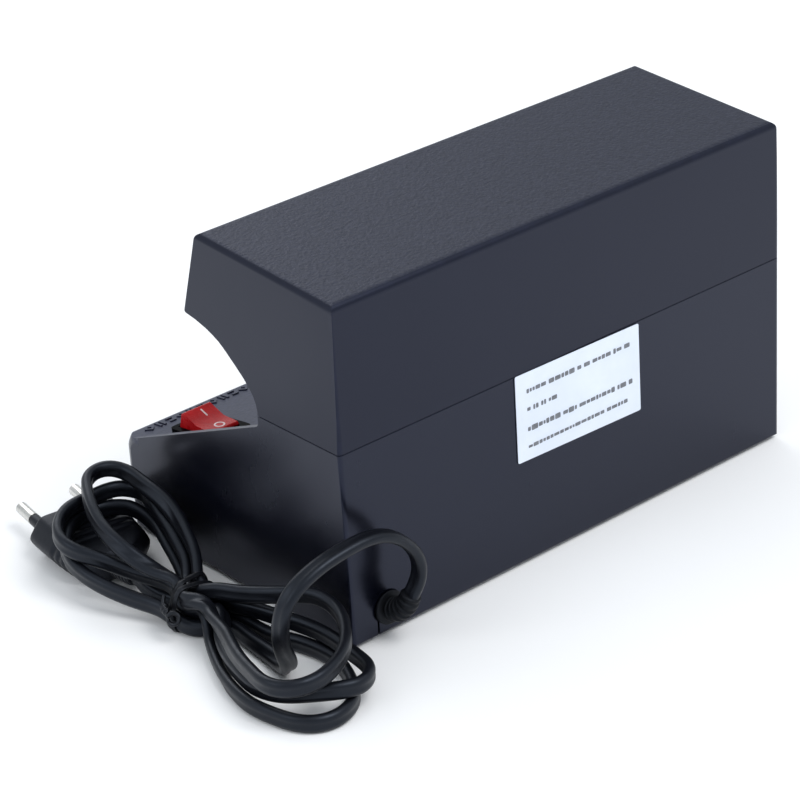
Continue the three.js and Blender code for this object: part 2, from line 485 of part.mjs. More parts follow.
add('resonant_capacitor', alongZ([[24, -12, 1.2], [36, -12, 1.2], [36, -5.5, 1.2], [24, -5.5, 1.2]], TOP, TOP + 10, 3), 'film');
[[12, -22], [22, -22]].forEach(([x, y], i) => {
  const t = join(box(x - 4, x + 4, y - 1.2, y + 1.2, TOP + 3, TOP + 11), box(x - 3.2, x - 2.4, y - 0.3, y + 0.3, TOP, TOP + 3.5),
    box(x - 0.4, x + 0.4, y - 0.3, y + 0.3, TOP, TOP + 3.5), box(x + 2.4, x + 3.2, y - 0.3, y + 0.3, TOP, TOP + 3.5));
  add(`power_transistor_${i + 1}`, t, 'black');
});
add('board_fuse', rodX(-22, TOP + 3.6, 2.6, 26, 33, 14), 'fuseGlass');
{
  let tb = box(30, 41, 0.5, 4.6, TOP, TOP + 8);
  for (const x of [33, 38]) tb = cut(tb, box(x - 1.6, x + 1.6, 2, 6, TOP + 1.5, TOP + 4.5));
  add('terminal_block', tb, 'board');
}

// ---------------------------------------------------------------- strain relief
// a flanged bushing that grips the wall, then a ribbed neck that bends up and tapers
{
  const centre = new THREE.CatmullRomCurve3([[0, 44.6, 0], [0, 50, 0], [0, 54.6, 0], [0, 57.3, 0.8],
    [-0.2, 59.5, 2.4], [-0.7, 61.1, 4.7], [-1.4, 62.0, 7.3]].map(([x, y, z]) => new THREE.Vector3(RELIEF_X + x, y, RELIEF_Z + z)), false, 'centripetal');
  const path = [], radii = [];
  const put = (p, r) => { path.push(p); radii.push(r); };
  const straight = (y) => [RELIEF_X, y, RELIEF_Z];
  put(straight(44.6), 3.6); put(straight(46.3), 4.2); put(straight(46.31), 5.5); put(straight(49.8), 5.5);
  put(straight(49.81), 4.4); put(straight(53.2), 4.4); put(straight(53.21), 6.0); put(straight(54.9), 5.6);
  const ribs = 5, u0 = 0.52;
  for (let i = 0; i < ribs; i++) {
    const f = i / ribs, core = 4.1 - 1.3 * f, rib = core + 0.75;
    for (const [du, r] of [[0.0, core], [0.035, core], [0.04, rib], [0.085, rib - 0.05], [0.09, core - 0.1]]) {
      const p = centre.getPointAt(Math.min(1, u0 + (1 - u0) * (f + du / (1 - u0))));
      put(p.toArray(), r);
    }
  }
  put(centre.getPointAt(1).toArray(), 2.9);
  add('strain_relief', lofted(path, radii, 14), 'rubber');
}

// ---------------------------------------------------------------- rating label
add('rating_label', alongY([[23.4, 63.9, 0.6], [-27.4, 63.3, 0.6], [-27.6, 34.0, 0.6], [23.4, 35.2, 0.6]].reverse(),
  DEPTH_REAR + 0.2, DEPTH_REAR + 0.4, 2), 'paper');

// ---------------------------------------------------------------- inner leads
const lead = (name, pts, mat, steps = 16, d = 1.9) => add(name, swept(pts, d, d, steps, 8), mat);
lead('lead_live', [[RELIEF_X - 1.6, 43.2, RELIEF_Z + 0.4], [70, 36, 14], [60, 22, 22], [58, 2, 25], [61, -20, 22], [66, -33, 17], [70.4, -35.4, 16.4]], 'brown', 24);
lead('lead_neutral', [[RELIEF_X + 1.8, 43.2, RELIEF_Z - 0.4], [71, 33, 8], [58, 20, 9], [50, 12, 14], [44, 8.4, 17], [38.4, 6.0, 16.6]], 'blue', 18);
lead('lead_switch', [[70.3, -28.4, 17.4], [66, -26, 14.5], [60, -20, 13], [52, -14, 18], [44, -9.6, 19], [37.4, -8.8, 19]], 'brown', 18);
for (const [s, name] of [[1, 'right'], [-1, 'left']]) {
  const x = s * 81.4;
  lead(`lead_lamp_${name}`, [[s * 78.6, 5, 99], [s * 80.6, 9, 99.0], [x, 14, 99], [x, 21, 99], [x, 30, 93], [x, 34.5, 80], [x, 34.5, 62], [s * 79, 34.5, 44],
    [s * 72, 35, 30], [s * 62, 33, 25], [s * 50, 26, 22], [s > 0 ? 44 : -34, 18, 21], [s > 0 ? 33 : -30.4, s > 0 ? 8.4 : 10, s > 0 ? 16.6 : 18]], 'wire', 40);
}

// ---------------------------------------------------------------- mains lead
// free stretch from the strain relief, over its arch, down to the tied hank
const leadOut = [[74.4, 62.2, 17.25], [72.6, 63.2, 21.8], [72.7, 63.8, 27.0], [75.4, 64.0, 33.2], [83.4, 64.0, 40.3], [91.0, 63.8, 42.4],
  [99.1, 63.5, 42.0], [108.0, 63.0, 40.3], [115.1, 62.5, 37.1], [118.9, 61.8, 33.4], [120.6, 60.8, 27.9], [120.5, 59.6, 22.4], [120.1, 58.9, 19.8]];
add('mains_lead', swept(leadOut, CORD_W, CORD_T, 36, 10), 'cord');

// the tied figure-eight hank: outer shape in plan, cut to its side profile
const hankPlan = [[107, 3, 2], [107.5, 12, 4], [100, 34, 8], [96, 52, 8], [100.5, 74, 10], [113, 88, 10], [129, 88, 10],
  [139, 74, 10], [137, 50, 10], [126, 22, 8], [119.5, 12, 4], [119.5, 3, 2], [124, -10, 8], [134, -26, 8], [131, -46, 10], [119, -64, 10],
  [103, -70, 10], [92.6, -60, 8], [92.4, -38, 8], [100, -12, 8]].reverse();
const hankSide = [[92, 0.2], [92, 17], [34, 17, 8], [12, 12.6, 4], [2, 12.6, 4], [-24, 26, 6], [-74, 26], [-74, 14.4], [-24, 14.4, 4], [1, 1.6, 2], [11, 1.6, 1], [17, 0.2, 1]].reverse();
add('cord_hank', common(alongZ(hankPlan, 0, 40, 4), alongX(hankSide, 80, 150, 3)), 'cord');
add('twist_tie', cut(box(105.7, 120.8, 4.6, 8.8, 0.3, 13.8), box(106.5, 120.0, 0, 12, 1.2, 13.1)), 'rubber');

// plug: flat two-pin body, lying on its side, with its lead leaving the rear
const PITCH = rad(2);          // its blades point slightly up
const PLUG = new THREE.Matrix4().makeBasis(   // local x across the pins, y along them, z up
  new THREE.Vector3(0.9902, -0.1400, 0).negate(), new THREE.Vector3(-0.1400, -0.9902, 0), new THREE.Vector3(0, 0, 1));
PLUG.multiply(new THREE.Matrix4().makeRotationX(PITCH));
PLUG.setPosition(108.4, -58.7, 7.1);
const atPlug = (g) => g.applyMatrix4(PLUG);
{
  let body = alongY([[-15.8, 0, 1.6], [-11.5, 6.5, 1.6], [11.5, 6.5, 1.6], [15.8, 0, 1.6], [11.5, -6.5, 1.6], [-11.5, -6.5, 1.6]].reverse(), -29.4, 0, 3);
  body = common(body, alongZ([[15.9, 0, 0.8], [15.9, -4], [14.4, -23, 3], [9, -29.4, 3], [-9, -29.4, 3], [-14.4, -23, 3], [-15.9, -4], [-15.9, 0, 0.8]], -8, 8, 4),
    alongX([[0.2, -6.7], [0.2, 6.7], [-13, 6.6], [-23.5, 6.1, 3], [-29.6, 4.6], [-29.6, -4.6], [-23.5, -6.0, 3], [-13, -6.6]].reverse(), -17, 17, 3));
  body = join(body, lofted([[0, -27, 0], [0, -33, 0.15], [0, -37.0, 0.55], [0, -39.8, 0.9]], [4.5, 4.4, 3.9, 3.1], 14));
  for (const x of [-9.3, 9.3]) body = join(body, rodY(x, 0, 1.95, -1, 9.2, 12));
  add('plug_body', atPlug(toGeometry(body)), 'black');
  [-9.3, 9.3].forEach((x, i) => add(`plug_pin_${i + 1}`,
    atPlug(new THREE.LatheGeometry([[0, 9.5], [1.95, 9.5], [1.95, 18.1], [1.2, 19], [0, 19]].map(([a, b]) => new THREE.Vector2(a, b)), 14).translate(x, 0, 0)), 'plating'));
}
// lead from the plug back to the hank
const leadIn = [[114.42, -18.05, 6.65], [115.1, -13.4, 5.1], [115.8, -8.8, 3.1], [116.2, -4.2, 2.05]];
add('plug_lead', swept(leadIn, CORD_W, CORD_T, 8, 10), 'cord');
export default root;
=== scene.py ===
import json
import math
import bpy
import bmesh
import numpy as np
from mathutils import Matrix, Vector


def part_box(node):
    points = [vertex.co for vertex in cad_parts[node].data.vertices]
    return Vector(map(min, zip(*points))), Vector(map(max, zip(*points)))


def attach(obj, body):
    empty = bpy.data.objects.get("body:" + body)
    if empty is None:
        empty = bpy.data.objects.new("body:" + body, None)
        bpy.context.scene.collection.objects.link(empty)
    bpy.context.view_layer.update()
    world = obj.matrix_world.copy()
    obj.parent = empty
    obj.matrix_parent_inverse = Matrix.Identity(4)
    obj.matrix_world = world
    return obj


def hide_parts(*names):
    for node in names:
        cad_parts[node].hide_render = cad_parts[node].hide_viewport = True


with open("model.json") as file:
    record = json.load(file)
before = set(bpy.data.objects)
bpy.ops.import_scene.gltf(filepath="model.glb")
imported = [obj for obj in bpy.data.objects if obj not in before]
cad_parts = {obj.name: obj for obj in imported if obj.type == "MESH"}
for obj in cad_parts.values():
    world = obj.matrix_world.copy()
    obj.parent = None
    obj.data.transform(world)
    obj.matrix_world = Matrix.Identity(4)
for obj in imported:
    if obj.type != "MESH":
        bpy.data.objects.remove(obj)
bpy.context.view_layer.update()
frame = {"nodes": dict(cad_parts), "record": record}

NODES = frame["nodes"]
MM = 0.001

# ------------------------------------------------------------------ camera
cam = bpy.data.cameras.new("camera")
cam.lens = 132.24
cam.sensor_width = 36.0
cam.clip_start = 0.01
cam.clip_end = 20
camera = bpy.data.objects.new("camera", cam)
bpy.context.scene.collection.objects.link(camera)
forward = Vector((-0.5647, -0.6886, -0.4550)).normalized()
right = Vector((-0.7533, 0.6552, -0.0567)).normalized()
up = right.cross(forward).normalized()
right = forward.cross(up).normalized()
m = Matrix.Identity(4)
for r in range(3):
    m[r][0], m[r][1], m[r][2] = right[r], up[r], -forward[r]
m.translation = Vector((0.53356, 0.62336, 0.44908))
camera.matrix_world = m
bpy.context.scene.camera = camera


# ------------------------------------------------------------------ mesh helpers
def unit(v):
    v = np.asarray(v, float)
    return v / np.maximum(np.linalg.norm(v, axis=-1, keepdims=True), 1e-12)


def make(name, verts, faces, smooth=True):
    """A mesh object from points in millimetres."""
    me = bpy.data.meshes.new(name)
    me.from_pydata([tuple(float(c) * MM for c in v) for v in verts], [], [tuple(f) for f in faces])
    me.validate()
    bm = bmesh.new()
    bm.from_mesh(me)
    bmesh.ops.recalc_face_normals(bm, faces=bm.faces)
    bm.to_mesh(me)
    bm.free()
    ob = bpy.data.objects.new(name, me)
    bpy.context.scene.collection.objects.link(ob)
    for p in me.polygons:
        p.use_smooth = smooth
    return ob


def loft(rings, closed=False, caps=True):
    """Quads between rings of equal size; the ends are closed with fans."""
    rings = [np.asarray(r, float) for r in rings]
    n = len(rings[0])
    verts = [tuple(p) for r in rings for p in r]
    faces = []
    last = len(rings) if closed else len(rings) - 1
    for i in range(last):
        j = (i + 1) % len(rings)
        for k in range(n):
            k2 = (k + 1) % n
            faces.append((i * n + k, i * n + k2, j * n + k2, j * n + k))
    if caps and not closed:
        for i in (0, len(rings) - 1):
            c = len(verts)
            verts.append(tuple(rings[i].mean(0)))
            for k in range(n):
                faces.append((c, i * n + k, i * n + (k + 1) % n))
    return verts, faces


def catmull(P, n):
    """Centripetal spline through the points, n samples to a span."""
    P = np.asarray(P, float)
    Q = np.vstack([2 * P[0] - P[1], P, 2 * P[-1] - P[-2]])
    out = []
    for i in range(1, len(Q) - 2):
        p0, p1, p2, p3 = Q[i - 1 : i + 3]
        t0 = 0.0
        t1 = t0 + max(np.linalg.norm(p1 - p0), 1e-9) ** 0.5
        t2 = t1 + max(np.linalg.norm(p2 - p1), 1e-9) ** 0.5
        t3 = t2 + max(np.linalg.norm(p3 - p2), 1e-9) ** 0.5
        for k in range(n):
            t = t1 + (t2 - t1) * k / n
            a1 = (t1 - t) / (t1 - t0) * p0 + (t - t0) / (t1 - t0) * p1
            a2 = (t2 - t) / (t2 - t1) * p1 + (t - t1) / (t2 - t1) * p2
            a3 = (t3 - t) / (t3 - t2) * p2 + (t - t2) / (t3 - t2) * p3
            b1 = (t2 - t) / (t2 - t0) * a1 + (t - t0) / (t2 - t0) * a2
            b2 = (t3 - t) / (t3 - t1) * a2 + (t - t1) / (t3 - t1) * a3
            out.append((t2 - t) / (t2 - t1) * b1 + (t - t1) / (t2 - t1) * b2)
    out.append(P[-1])
    return np.array(out)


def transport(P, first):
    """Tangents and a side vector carried along the line without twist."""
    t = unit(np.gradient(P, axis=0))
    s = np.zeros_like(P)
    v = np.asarray(first, float)
    for i in range(len(P)):
        v = v - (v @ t[i]) * t[i]
        v = v / np.linalg.norm(v)
        s[i] = v
    return t, s, np.cross(t, s)


def tube(P, radii, first=(0, 0, 1), sides=20, oval=None):
    """Rings round a line; radii is one number or one for each point; oval stretches the side axis."""
    P = np.asarray(P, float)
    t, s, b = transport(P, first)
    r = np.broadcast_to(np.asarray(radii, float), (len(P),))
    o = np.broadcast_to(np.asarray(1.0 if oval is None else oval, float), (len(P),))
    a = np.linspace(0, 2 * math.pi, sides, endpoint=False)
    return [P[i] + np.outer(np.cos(a), s[i]) * r[i] * o[i] + np.outer(np.sin(a), b[i]) * r[i] for i in range(len(P))]


def finish_piece(ob, body, material, replaces=()):
    ob.data.materials.clear()
    ob.data.materials.append(material)
    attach(ob, body)
    if replaces:
        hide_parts(*replaces)
    return ob


# ------------------------------------------------------------------ materials
class Tree:
    """A short way to write a Principled material."""

    def __init__(self, name):
        self.mat = bpy.data.materials.new(name)
        self.mat.use_nodes = True
        self.nt = self.mat.node_tree
        self.nt.nodes.clear()
        self.out = self.nt.nodes.new("ShaderNodeOutputMaterial")
        self.bsdf = self.nt.nodes.new("ShaderNodeBsdfPrincipled")
        self.nt.links.new(self.bsdf.outputs[0], self.out.inputs[0])
        self.coord = self.nt.nodes.new("ShaderNodeTexCoord").outputs["Object"]

    def link(self, a, b):
        self.nt.links.new(a, b)

    def mapped(self, scale=(1, 1, 1), rot=(0, 0, 0)):
        n = self.nt.nodes.new("ShaderNodeMapping")
        n.inputs["Scale"].default_value = scale
        n.inputs["Rotation"].default_value = rot
        self.link(self.coord, n.inputs["Vector"])
        return n.outputs[0]

    def noise(self, scale, detail=3, rough=0.5, vec=None, distortion=0.0):
        n = self.nt.nodes.new("ShaderNodeTexNoise")
        n.inputs["Scale"].default_value = scale
        n.inputs["Detail"].default_value = detail
        n.inputs["Roughness"].default_value = rough
        n.inputs["Distortion"].default_value = distortion
        self.link(vec if vec is not None else self.coord, n.inputs["Vector"])
        return n.outputs["Fac"]

    def voronoi(self, scale, vec=None, feature="F1", out="Distance"):
        n = self.nt.nodes.new("ShaderNodeTexVoronoi")
        n.feature = feature
        n.inputs["Scale"].default_value = scale
        self.link(vec if vec is not None else self.coord, n.inputs["Vector"])
        return n.outputs[out]

    def wave(self, scale, direction="X", distortion=0.0, detail=0, vec=None):
        n = self.nt.nodes.new("ShaderNodeTexWave")
        n.bands_direction = direction
        n.inputs["Scale"].default_value = scale
        n.inputs["Distortion"].default_value = distortion
        n.inputs["Detail"].default_value = detail
        self.link(vec if vec is not None else self.coord, n.inputs["Vector"])
        return n.outputs["Fac"]

    def axis(self, which, vec=None):
        n = self.nt.nodes.new("ShaderNodeSeparateXYZ")
        self.link(vec if vec is not None else self.coord, n.inputs[0])
        return n.outputs[which]

    def normal(self):
        return self.nt.nodes.new("ShaderNodeNewGeometry").outputs["Normal"]

    def remap(self, v, a, b, c, d, smooth=False):
        n = self.nt.nodes.new("ShaderNodeMapRange")
        n.interpolation_type = "SMOOTHSTEP" if smooth else "LINEAR"
        for i, x in enumerate((a, b, c, d)):
            n.inputs[i + 1].default_value = x
        self.link(v, n.inputs[0])
        return n.outputs[0]

    def math(self, op, a, b=None):
        n = self.nt.nodes.new("ShaderNodeMath")
        n.operation = op
        for i, x in enumerate((a, b)):
            if x is None:
                continue
            if isinstance(x, (int, float)):
                n.inputs[i].default_value = x
            else:
                self.link(x, n.inputs[i])
        return n.outputs[0]

    def mix(self, fac, a, b):
        n = self.nt.nodes.new("ShaderNodeMix")
        n.data_type = "RGBA"
        if isinstance(fac, (int, float)):
            n.inputs[0].default_value = fac
        else:
            self.link(fac, n.inputs[0])
        for i, x in ((6, a), (7, b)):
            if isinstance(x, (tuple, list)):
                n.inputs[i].default_value = (*x[:3], 1)
            else:
                self.link(x, n.inputs[i])
        return n.outputs[2]

    def bump(self, height, strength, distance, below=None):
        n = self.nt.nodes.new("ShaderNodeBump")
        if isinstance(strength, (int, float)):
            n.inputs["Strength"].default_value = strength
        else:
            self.link(strength, n.inputs["Strength"])
        n.inputs["Distance"].default_value = distance
        self.link(height, n.inputs["Height"])
        if below is not None:
            self.link(below, n.inputs["Normal"])
        return n.outputs[0]

    def set(self, name, value):
        s = self.bsdf.inputs[name]
        if isinstance(value, (int, float)):
            s.default_value = value
        elif isinstance(value, (tuple, list)):
            s.default_value = (*value[:3], 1) if len(s.default_value) == 4 else value
        else:
            self.link(value, s)


def shade(c, k):
    return tuple(min(1.0, x * k) for x in c)


def plain(name, base, rough, metal=0.0, mottle=0.08, mottle_scale=90, grain=1800, grain_strength=0.15,
          grain_depth=0.00008, rough_var=0.06, **sockets):
    """Moulded or cast surface: slight colour drift, uneven gloss and a fine surface grain."""
    t = Tree(name)
    n = t.noise(mottle_scale, 4, 0.6)
    t.set("Base Color", t.mix(t.remap(n, 0.3, 0.7, 0, 1), shade(base, 1 - mottle), shade(base, 1 + mottle)))
    n2 = t.noise(mottle_scale * 3.3, 3, 0.6)
    t.set("Roughness", t.remap(n2, 0.25, 0.75, max(0.02, rough - rough_var), min(1.0, rough + rough_var)))
    t.set("Metallic", metal)
    t.set("Normal", t.bump(t.noise(grain, 2, 0.5), grain_strength, grain_depth))
    for k, v in sockets.items():
        t.set(k.replace("_", " "), v)
    return t.mat

# ------------------------------------------------------------------ mains lead: flat twin, 5.5 x 3.4 mm
# Each entry is a point of the lead and the direction of its wide axis: the arch from the
# strain relief, the tied figure-eight hank, and the run back to the plug.
LEAD = [
    (74.40,63.50,17.25,0.125,0.977,-0.172), (73.51,63.96,19.21,0.106,0.979,-0.172), (72.84,64.37,21.25,0.087,0.984,-0.156),
    (72.48,64.71,23.38,0.075,0.989,-0.131), (72.49,64.97,25.55,0.071,0.992,-0.104), (72.86,65.14,27.70,0.072,0.994,-0.081),
    (73.54,65.24,29.78,0.070,0.995,-0.067), (74.50,65.29,31.75,0.065,0.996,-0.058), (75.71,65.32,33.58,0.058,0.997,-0.054),
    (77.11,65.33,35.28,0.051,0.997,-0.051), (78.66,65.34,36.84,0.045,0.998,-0.049), (80.34,65.33,38.26,0.042,0.998,-0.047),
    (82.14,65.31,39.52,0.041,0.998,-0.046), (84.06,65.29,40.58,0.040,0.998,-0.046), (86.09,65.24,41.40,0.040,0.998,-0.047),
    (88.20,65.19,41.98,0.039,0.998,-0.051), (90.37,65.12,42.33,0.037,0.998,-0.056), (92.56,65.05,42.47,0.035,0.997,-0.062),
    (94.76,64.98,42.44,0.034,0.997,-0.070), (96.95,64.89,42.28,0.034,0.996,-0.079), (99.13,64.79,42.04,0.035,0.996,-0.087),
    (101.31,64.69,41.74,0.036,0.995,-0.095), (103.48,64.57,41.37,0.035,0.994,-0.103), (105.63,64.45,40.93,0.030,0.993,-0.112),
    (107.75,64.33,40.37,0.022,0.992,-0.122), (109.84,64.21,39.69,0.013,0.991,-0.134), (111.88,64.07,38.87,0.005,0.989,-0.148),
    (113.84,63.92,37.89,-0.001,0.986,-0.164), (115.67,63.71,36.70,-0.007,0.983,-0.181), (117.31,63.46,35.28,-0.020,0.980,-0.196),
    (118.66,63.15,33.59,-0.043,0.978,-0.206), (119.66,62.80,31.69,-0.075,0.975,-0.211), (120.31,62.42,29.63,-0.117,0.970,-0.211),
    (120.64,62.01,27.51,-0.169,0.963,-0.208), (120.70,61.57,25.36,-0.232,0.952,-0.198), (120.54,61.10,23.21,-0.307,0.935,-0.179),
    (120.21,60.59,21.10,-0.392,0.908,-0.147), (119.71,60.06,19.02,-0.487,0.868,-0.098), (119.07,59.49,17.00,-0.586,0.810,-0.028),
    (118.28,58.88,15.04,-0.681,0.730,0.056), (117.39,58.22,13.14,-0.765,0.629,0.138), (116.44,57.47,11.29,-0.834,0.512,0.204),
    (115.51,56.61,9.49,-0.884,0.395,0.249), (114.61,55.58,7.77,-0.913,0.291,0.285), (113.75,54.31,6.20,-0.922,0.210,0.325),
    (112.95,52.73,4.89,-0.913,0.156,0.377), (112.23,50.88,3.95,-0.887,0.130,0.443), (111.63,48.84,3.38,-0.849,0.121,0.514),
    (111.12,46.71,3.09,-0.803,0.112,0.586), (110.70,44.54,2.94,-0.750,0.093,0.655), (110.37,42.37,2.85,-0.691,0.067,0.720),
    (110.09,40.20,2.76,-0.626,0.044,0.778), (109.88,38.03,2.70,-0.556,0.031,0.830), (109.70,35.87,2.66,-0.480,0.031,0.877),
    (109.54,33.71,2.66,-0.398,0.044,0.916), (109.36,31.56,2.72,-0.314,0.050,0.948), (109.13,29.43,2.76,-0.231,0.050,0.972),
    (108.88,27.32,2.82,-0.156,0.046,0.987), (108.72,25.23,2.89,-0.095,0.017,0.995), (108.86,23.17,2.89,-0.042,-0.032,0.999),
    (109.51,21.23,2.79,-0.005,-0.027,1.000), (110.68,19.55,2.80,0.006,0.007,1.000), (112.09,18.05,2.80,0.025,0.024,0.999),
    (113.65,16.69,2.80,0.039,0.043,0.998), (115.26,15.37,2.79,0.042,0.064,0.997), (116.61,13.80,2.86,0.014,0.110,0.994),
    (117.61,12.00,3.13,-0.013,0.166,0.986), (118.22,10.06,3.51,-0.023,0.197,0.980), (118.55,8.05,3.94,-0.028,0.216,0.976),
    (118.74,6.03,4.42,-0.031,0.231,0.973), (118.96,4.01,4.92,-0.033,0.227,0.973), (119.34,2.00,5.37,-0.030,0.193,0.981),
    (119.94,0.02,5.73,-0.024,0.153,0.988), (120.72,-1.91,6.01,-0.025,0.138,0.990), (121.61,-3.82,6.31,-0.037,0.154,0.987),
    (122.56,-5.70,6.67,-0.049,0.183,0.982), (123.52,-7.58,7.11,-0.054,0.208,0.977), (124.46,-9.47,7.58,-0.052,0.223,0.973),
    (125.34,-11.39,8.08,-0.046,0.229,0.972), (126.16,-13.33,8.57,-0.037,0.228,0.973), (126.90,-15.32,9.06,-0.026,0.226,0.974),
    (127.54,-17.34,9.54,-0.013,0.225,0.974), (128.06,-19.40,10.01,0.003,0.223,0.975), (128.45,-21.49,10.48,0.022,0.220,0.975),
    (128.70,-23.60,10.95,0.041,0.217,0.975), (128.79,-25.72,11.41,0.057,0.215,0.975), (128.69,-27.82,11.88,0.063,0.237,0.970),
    (128.39,-29.87,12.45,0.059,0.274,0.960), (127.88,-31.84,13.07,0.038,0.288,0.957), (127.15,-33.74,13.67,0.006,0.295,0.955),
    (126.19,-35.54,14.23,-0.028,0.315,0.949), (125.01,-37.21,14.76,-0.057,0.342,0.938), (123.64,-38.76,15.24,-0.066,0.375,0.925),
    (122.14,-40.21,15.76,-0.118,0.330,0.937), (120.50,-41.62,15.86,-0.169,0.251,0.953), (118.78,-42.96,15.89,-0.136,0.213,0.968),
    (116.94,-44.14,15.91,-0.083,0.177,0.981), (114.94,-45.04,15.95,-0.035,0.143,0.989), (112.81,-45.55,15.97,-0.009,0.113,0.994),
    (110.63,-45.64,15.98,0.003,0.093,0.996), (108.46,-45.32,15.97,0.015,0.085,0.996), (106.39,-44.64,15.95,0.037,0.085,0.996),
    (104.45,-43.63,15.97,0.064,0.094,0.993), (102.70,-42.36,15.98,0.093,0.111,0.989), (101.18,-40.84,15.96,0.124,0.126,0.984),
    (99.97,-39.10,15.90,0.111,0.187,0.976), (99.12,-37.22,15.50,0.104,0.237,0.966), (98.62,-35.23,15.10,0.117,0.221,0.968),
    (98.41,-33.18,14.67,0.132,0.212,0.968), (98.44,-31.10,14.22,0.167,0.182,0.969), (98.64,-29.00,13.84,0.224,0.130,0.966),
    (98.98,-26.87,13.52,0.304,0.082,0.949), (99.43,-24.74,13.22,0.401,0.054,0.915), (99.96,-22.63,12.85,0.502,0.041,0.864),
    (100.53,-20.53,12.39,0.593,0.031,0.804), (101.09,-18.44,11.85,0.668,0.028,0.744), (101.62,-16.36,11.25,0.725,0.031,0.689),
    (102.12,-14.29,10.58,0.765,0.037,0.643), (102.62,-12.24,9.83,0.790,0.041,0.611), (103.15,-10.25,8.98,0.806,0.046,0.591),
    (103.73,-8.34,8.01,0.813,0.061,0.578), (104.34,-6.52,6.91,0.810,0.078,0.581), (104.97,-4.73,5.80,0.782,0.083,0.617),
    (105.61,-2.90,4.81,0.718,0.072,0.692), (106.25,-0.96,4.07,0.610,0.045,0.791), (106.86,1.07,3.62,0.467,-0.012,0.884),
    (107.38,3.17,3.53,0.334,-0.050,0.941), (107.60,5.32,3.58,0.236,-0.011,0.972), (107.67,7.48,3.51,0.163,0.095,0.982),
    (107.35,9.62,3.21,0.105,0.163,0.981), (106.78,11.74,2.90,0.083,0.125,0.989), (105.97,13.83,2.79,0.085,0.056,0.995),
    (105.19,15.95,2.79,0.076,0.023,0.997), (104.61,18.16,2.80,0.062,0.012,0.998), (104.27,20.43,2.80,0.050,0.005,0.999),
    (104.09,22.72,2.80,0.041,0.002,0.999), (104.01,25.02,2.80,0.034,0.001,0.999), (104.00,27.32,2.80,0.028,0.000,1.000),
    (103.97,29.60,2.80,0.023,0.001,1.000), (103.83,31.86,2.80,0.019,0.002,1.000), (103.50,34.08,2.80,0.016,0.003,1.000),
    (102.91,36.25,2.80,0.013,0.004,1.000), (102.16,38.35,2.80,0.011,0.004,1.000), (101.35,40.43,2.80,0.011,0.002,1.000),
    (100.62,42.51,2.81,0.009,0.003,1.000), (100.05,44.64,2.80,0.007,0.003,1.000), (99.62,46.79,2.80,0.006,0.001,1.000),
    (99.31,48.97,2.80,0.004,0.001,1.000), (99.08,51.15,2.80,0.003,0.000,1.000), (98.97,53.35,2.80,0.003,0.000,1.000),
    (99.01,55.55,2.80,0.002,-0.000,1.000), (99.24,57.73,2.80,0.001,-0.000,1.000), (99.65,59.88,2.80,0.001,-0.000,1.000),
    (100.22,62.00,2.80,0.001,-0.000,1.000), (100.93,64.08,2.80,0.001,-0.000,1.000), (101.77,66.11,2.80,0.000,-0.000,1.000),
    (102.69,68.11,2.80,0.000,-0.000,1.000), (103.71,70.06,2.80,0.000,-0.000,1.000), (104.81,71.96,2.80,0.000,-0.000,1.000),
    (106.04,73.78,2.80,0.000,-0.000,1.000), (107.44,75.47,2.80,0.000,-0.000,1.000), (109.05,76.97,2.80,0.000,-0.000,1.000),
    (110.86,78.21,2.80,0.000,-0.000,1.000), (112.82,79.19,2.80,0.000,-0.000,1.000), (114.89,79.89,2.80,0.000,-0.000,1.000),
    (117.04,80.25,2.80,0.000,-0.000,1.000), (119.22,80.21,2.80,-0.000,-0.000,1.000), (121.33,79.71,2.80,-0.000,-0.000,1.000),
    (123.29,78.77,2.80,0.000,0.000,1.000), (124.99,77.42,2.80,0.001,0.001,1.000), (126.39,75.75,2.80,0.003,0.002,1.000),
    (127.48,73.86,2.80,0.005,0.002,1.000), (128.31,71.84,2.80,0.008,0.003,1.000), (128.95,69.74,2.80,0.012,0.003,1.000),
    (129.47,67.60,2.80,0.017,0.004,1.000), (129.92,65.44,2.80,0.022,0.004,1.000), (130.30,63.27,2.80,0.029,0.004,1.000),
    (130.58,61.08,2.80,0.038,0.003,0.999), (130.71,58.88,2.80,0.051,0.000,0.999), (130.66,56.68,2.80,0.067,-0.005,0.998),
    (130.43,54.49,2.80,0.087,-0.013,0.996), (130.09,52.32,2.79,0.113,-0.023,0.993), (129.64,50.15,2.78,0.144,-0.037,0.989),
    (129.10,47.99,2.77,0.182,-0.057,0.982), (128.46,45.83,2.76,0.228,-0.084,0.970), (127.72,43.70,2.73,0.284,-0.123,0.951),
    (126.89,41.58,2.67,0.346,-0.175,0.922), (125.95,39.51,2.60,0.416,-0.225,0.881), (124.95,37.46,2.53,0.498,-0.251,0.830),
    (123.92,35.44,2.58,0.578,-0.269,0.771), (122.88,33.44,2.68,0.641,-0.296,0.708), (121.83,31.46,2.81,0.693,-0.323,0.645),
    (120.79,29.52,2.97,0.736,-0.343,0.584), (119.74,27.61,3.18,0.771,-0.350,0.532), (118.70,25.74,3.50,0.799,-0.336,0.498),
    (117.68,23.97,4.04,0.822,-0.291,0.490), (116.68,22.35,4.88,0.837,-0.211,0.504), (115.78,20.81,5.87,0.837,-0.108,0.536),
    (115.01,19.24,6.86,0.802,-0.022,0.597), (114.41,17.48,7.58,0.713,-0.007,0.701), (114.08,15.51,7.78,0.582,-0.117,0.804),
    (114.13,13.55,7.22,0.474,-0.275,0.837), (114.46,11.71,6.31,0.386,-0.318,0.866), (114.81,9.80,5.54,0.295,-0.208,0.933),
    (114.97,7.72,5.26,0.230,0.001,0.973), (114.81,5.63,5.54,0.209,0.189,0.959), (114.23,3.72,6.21,0.205,0.296,0.933),
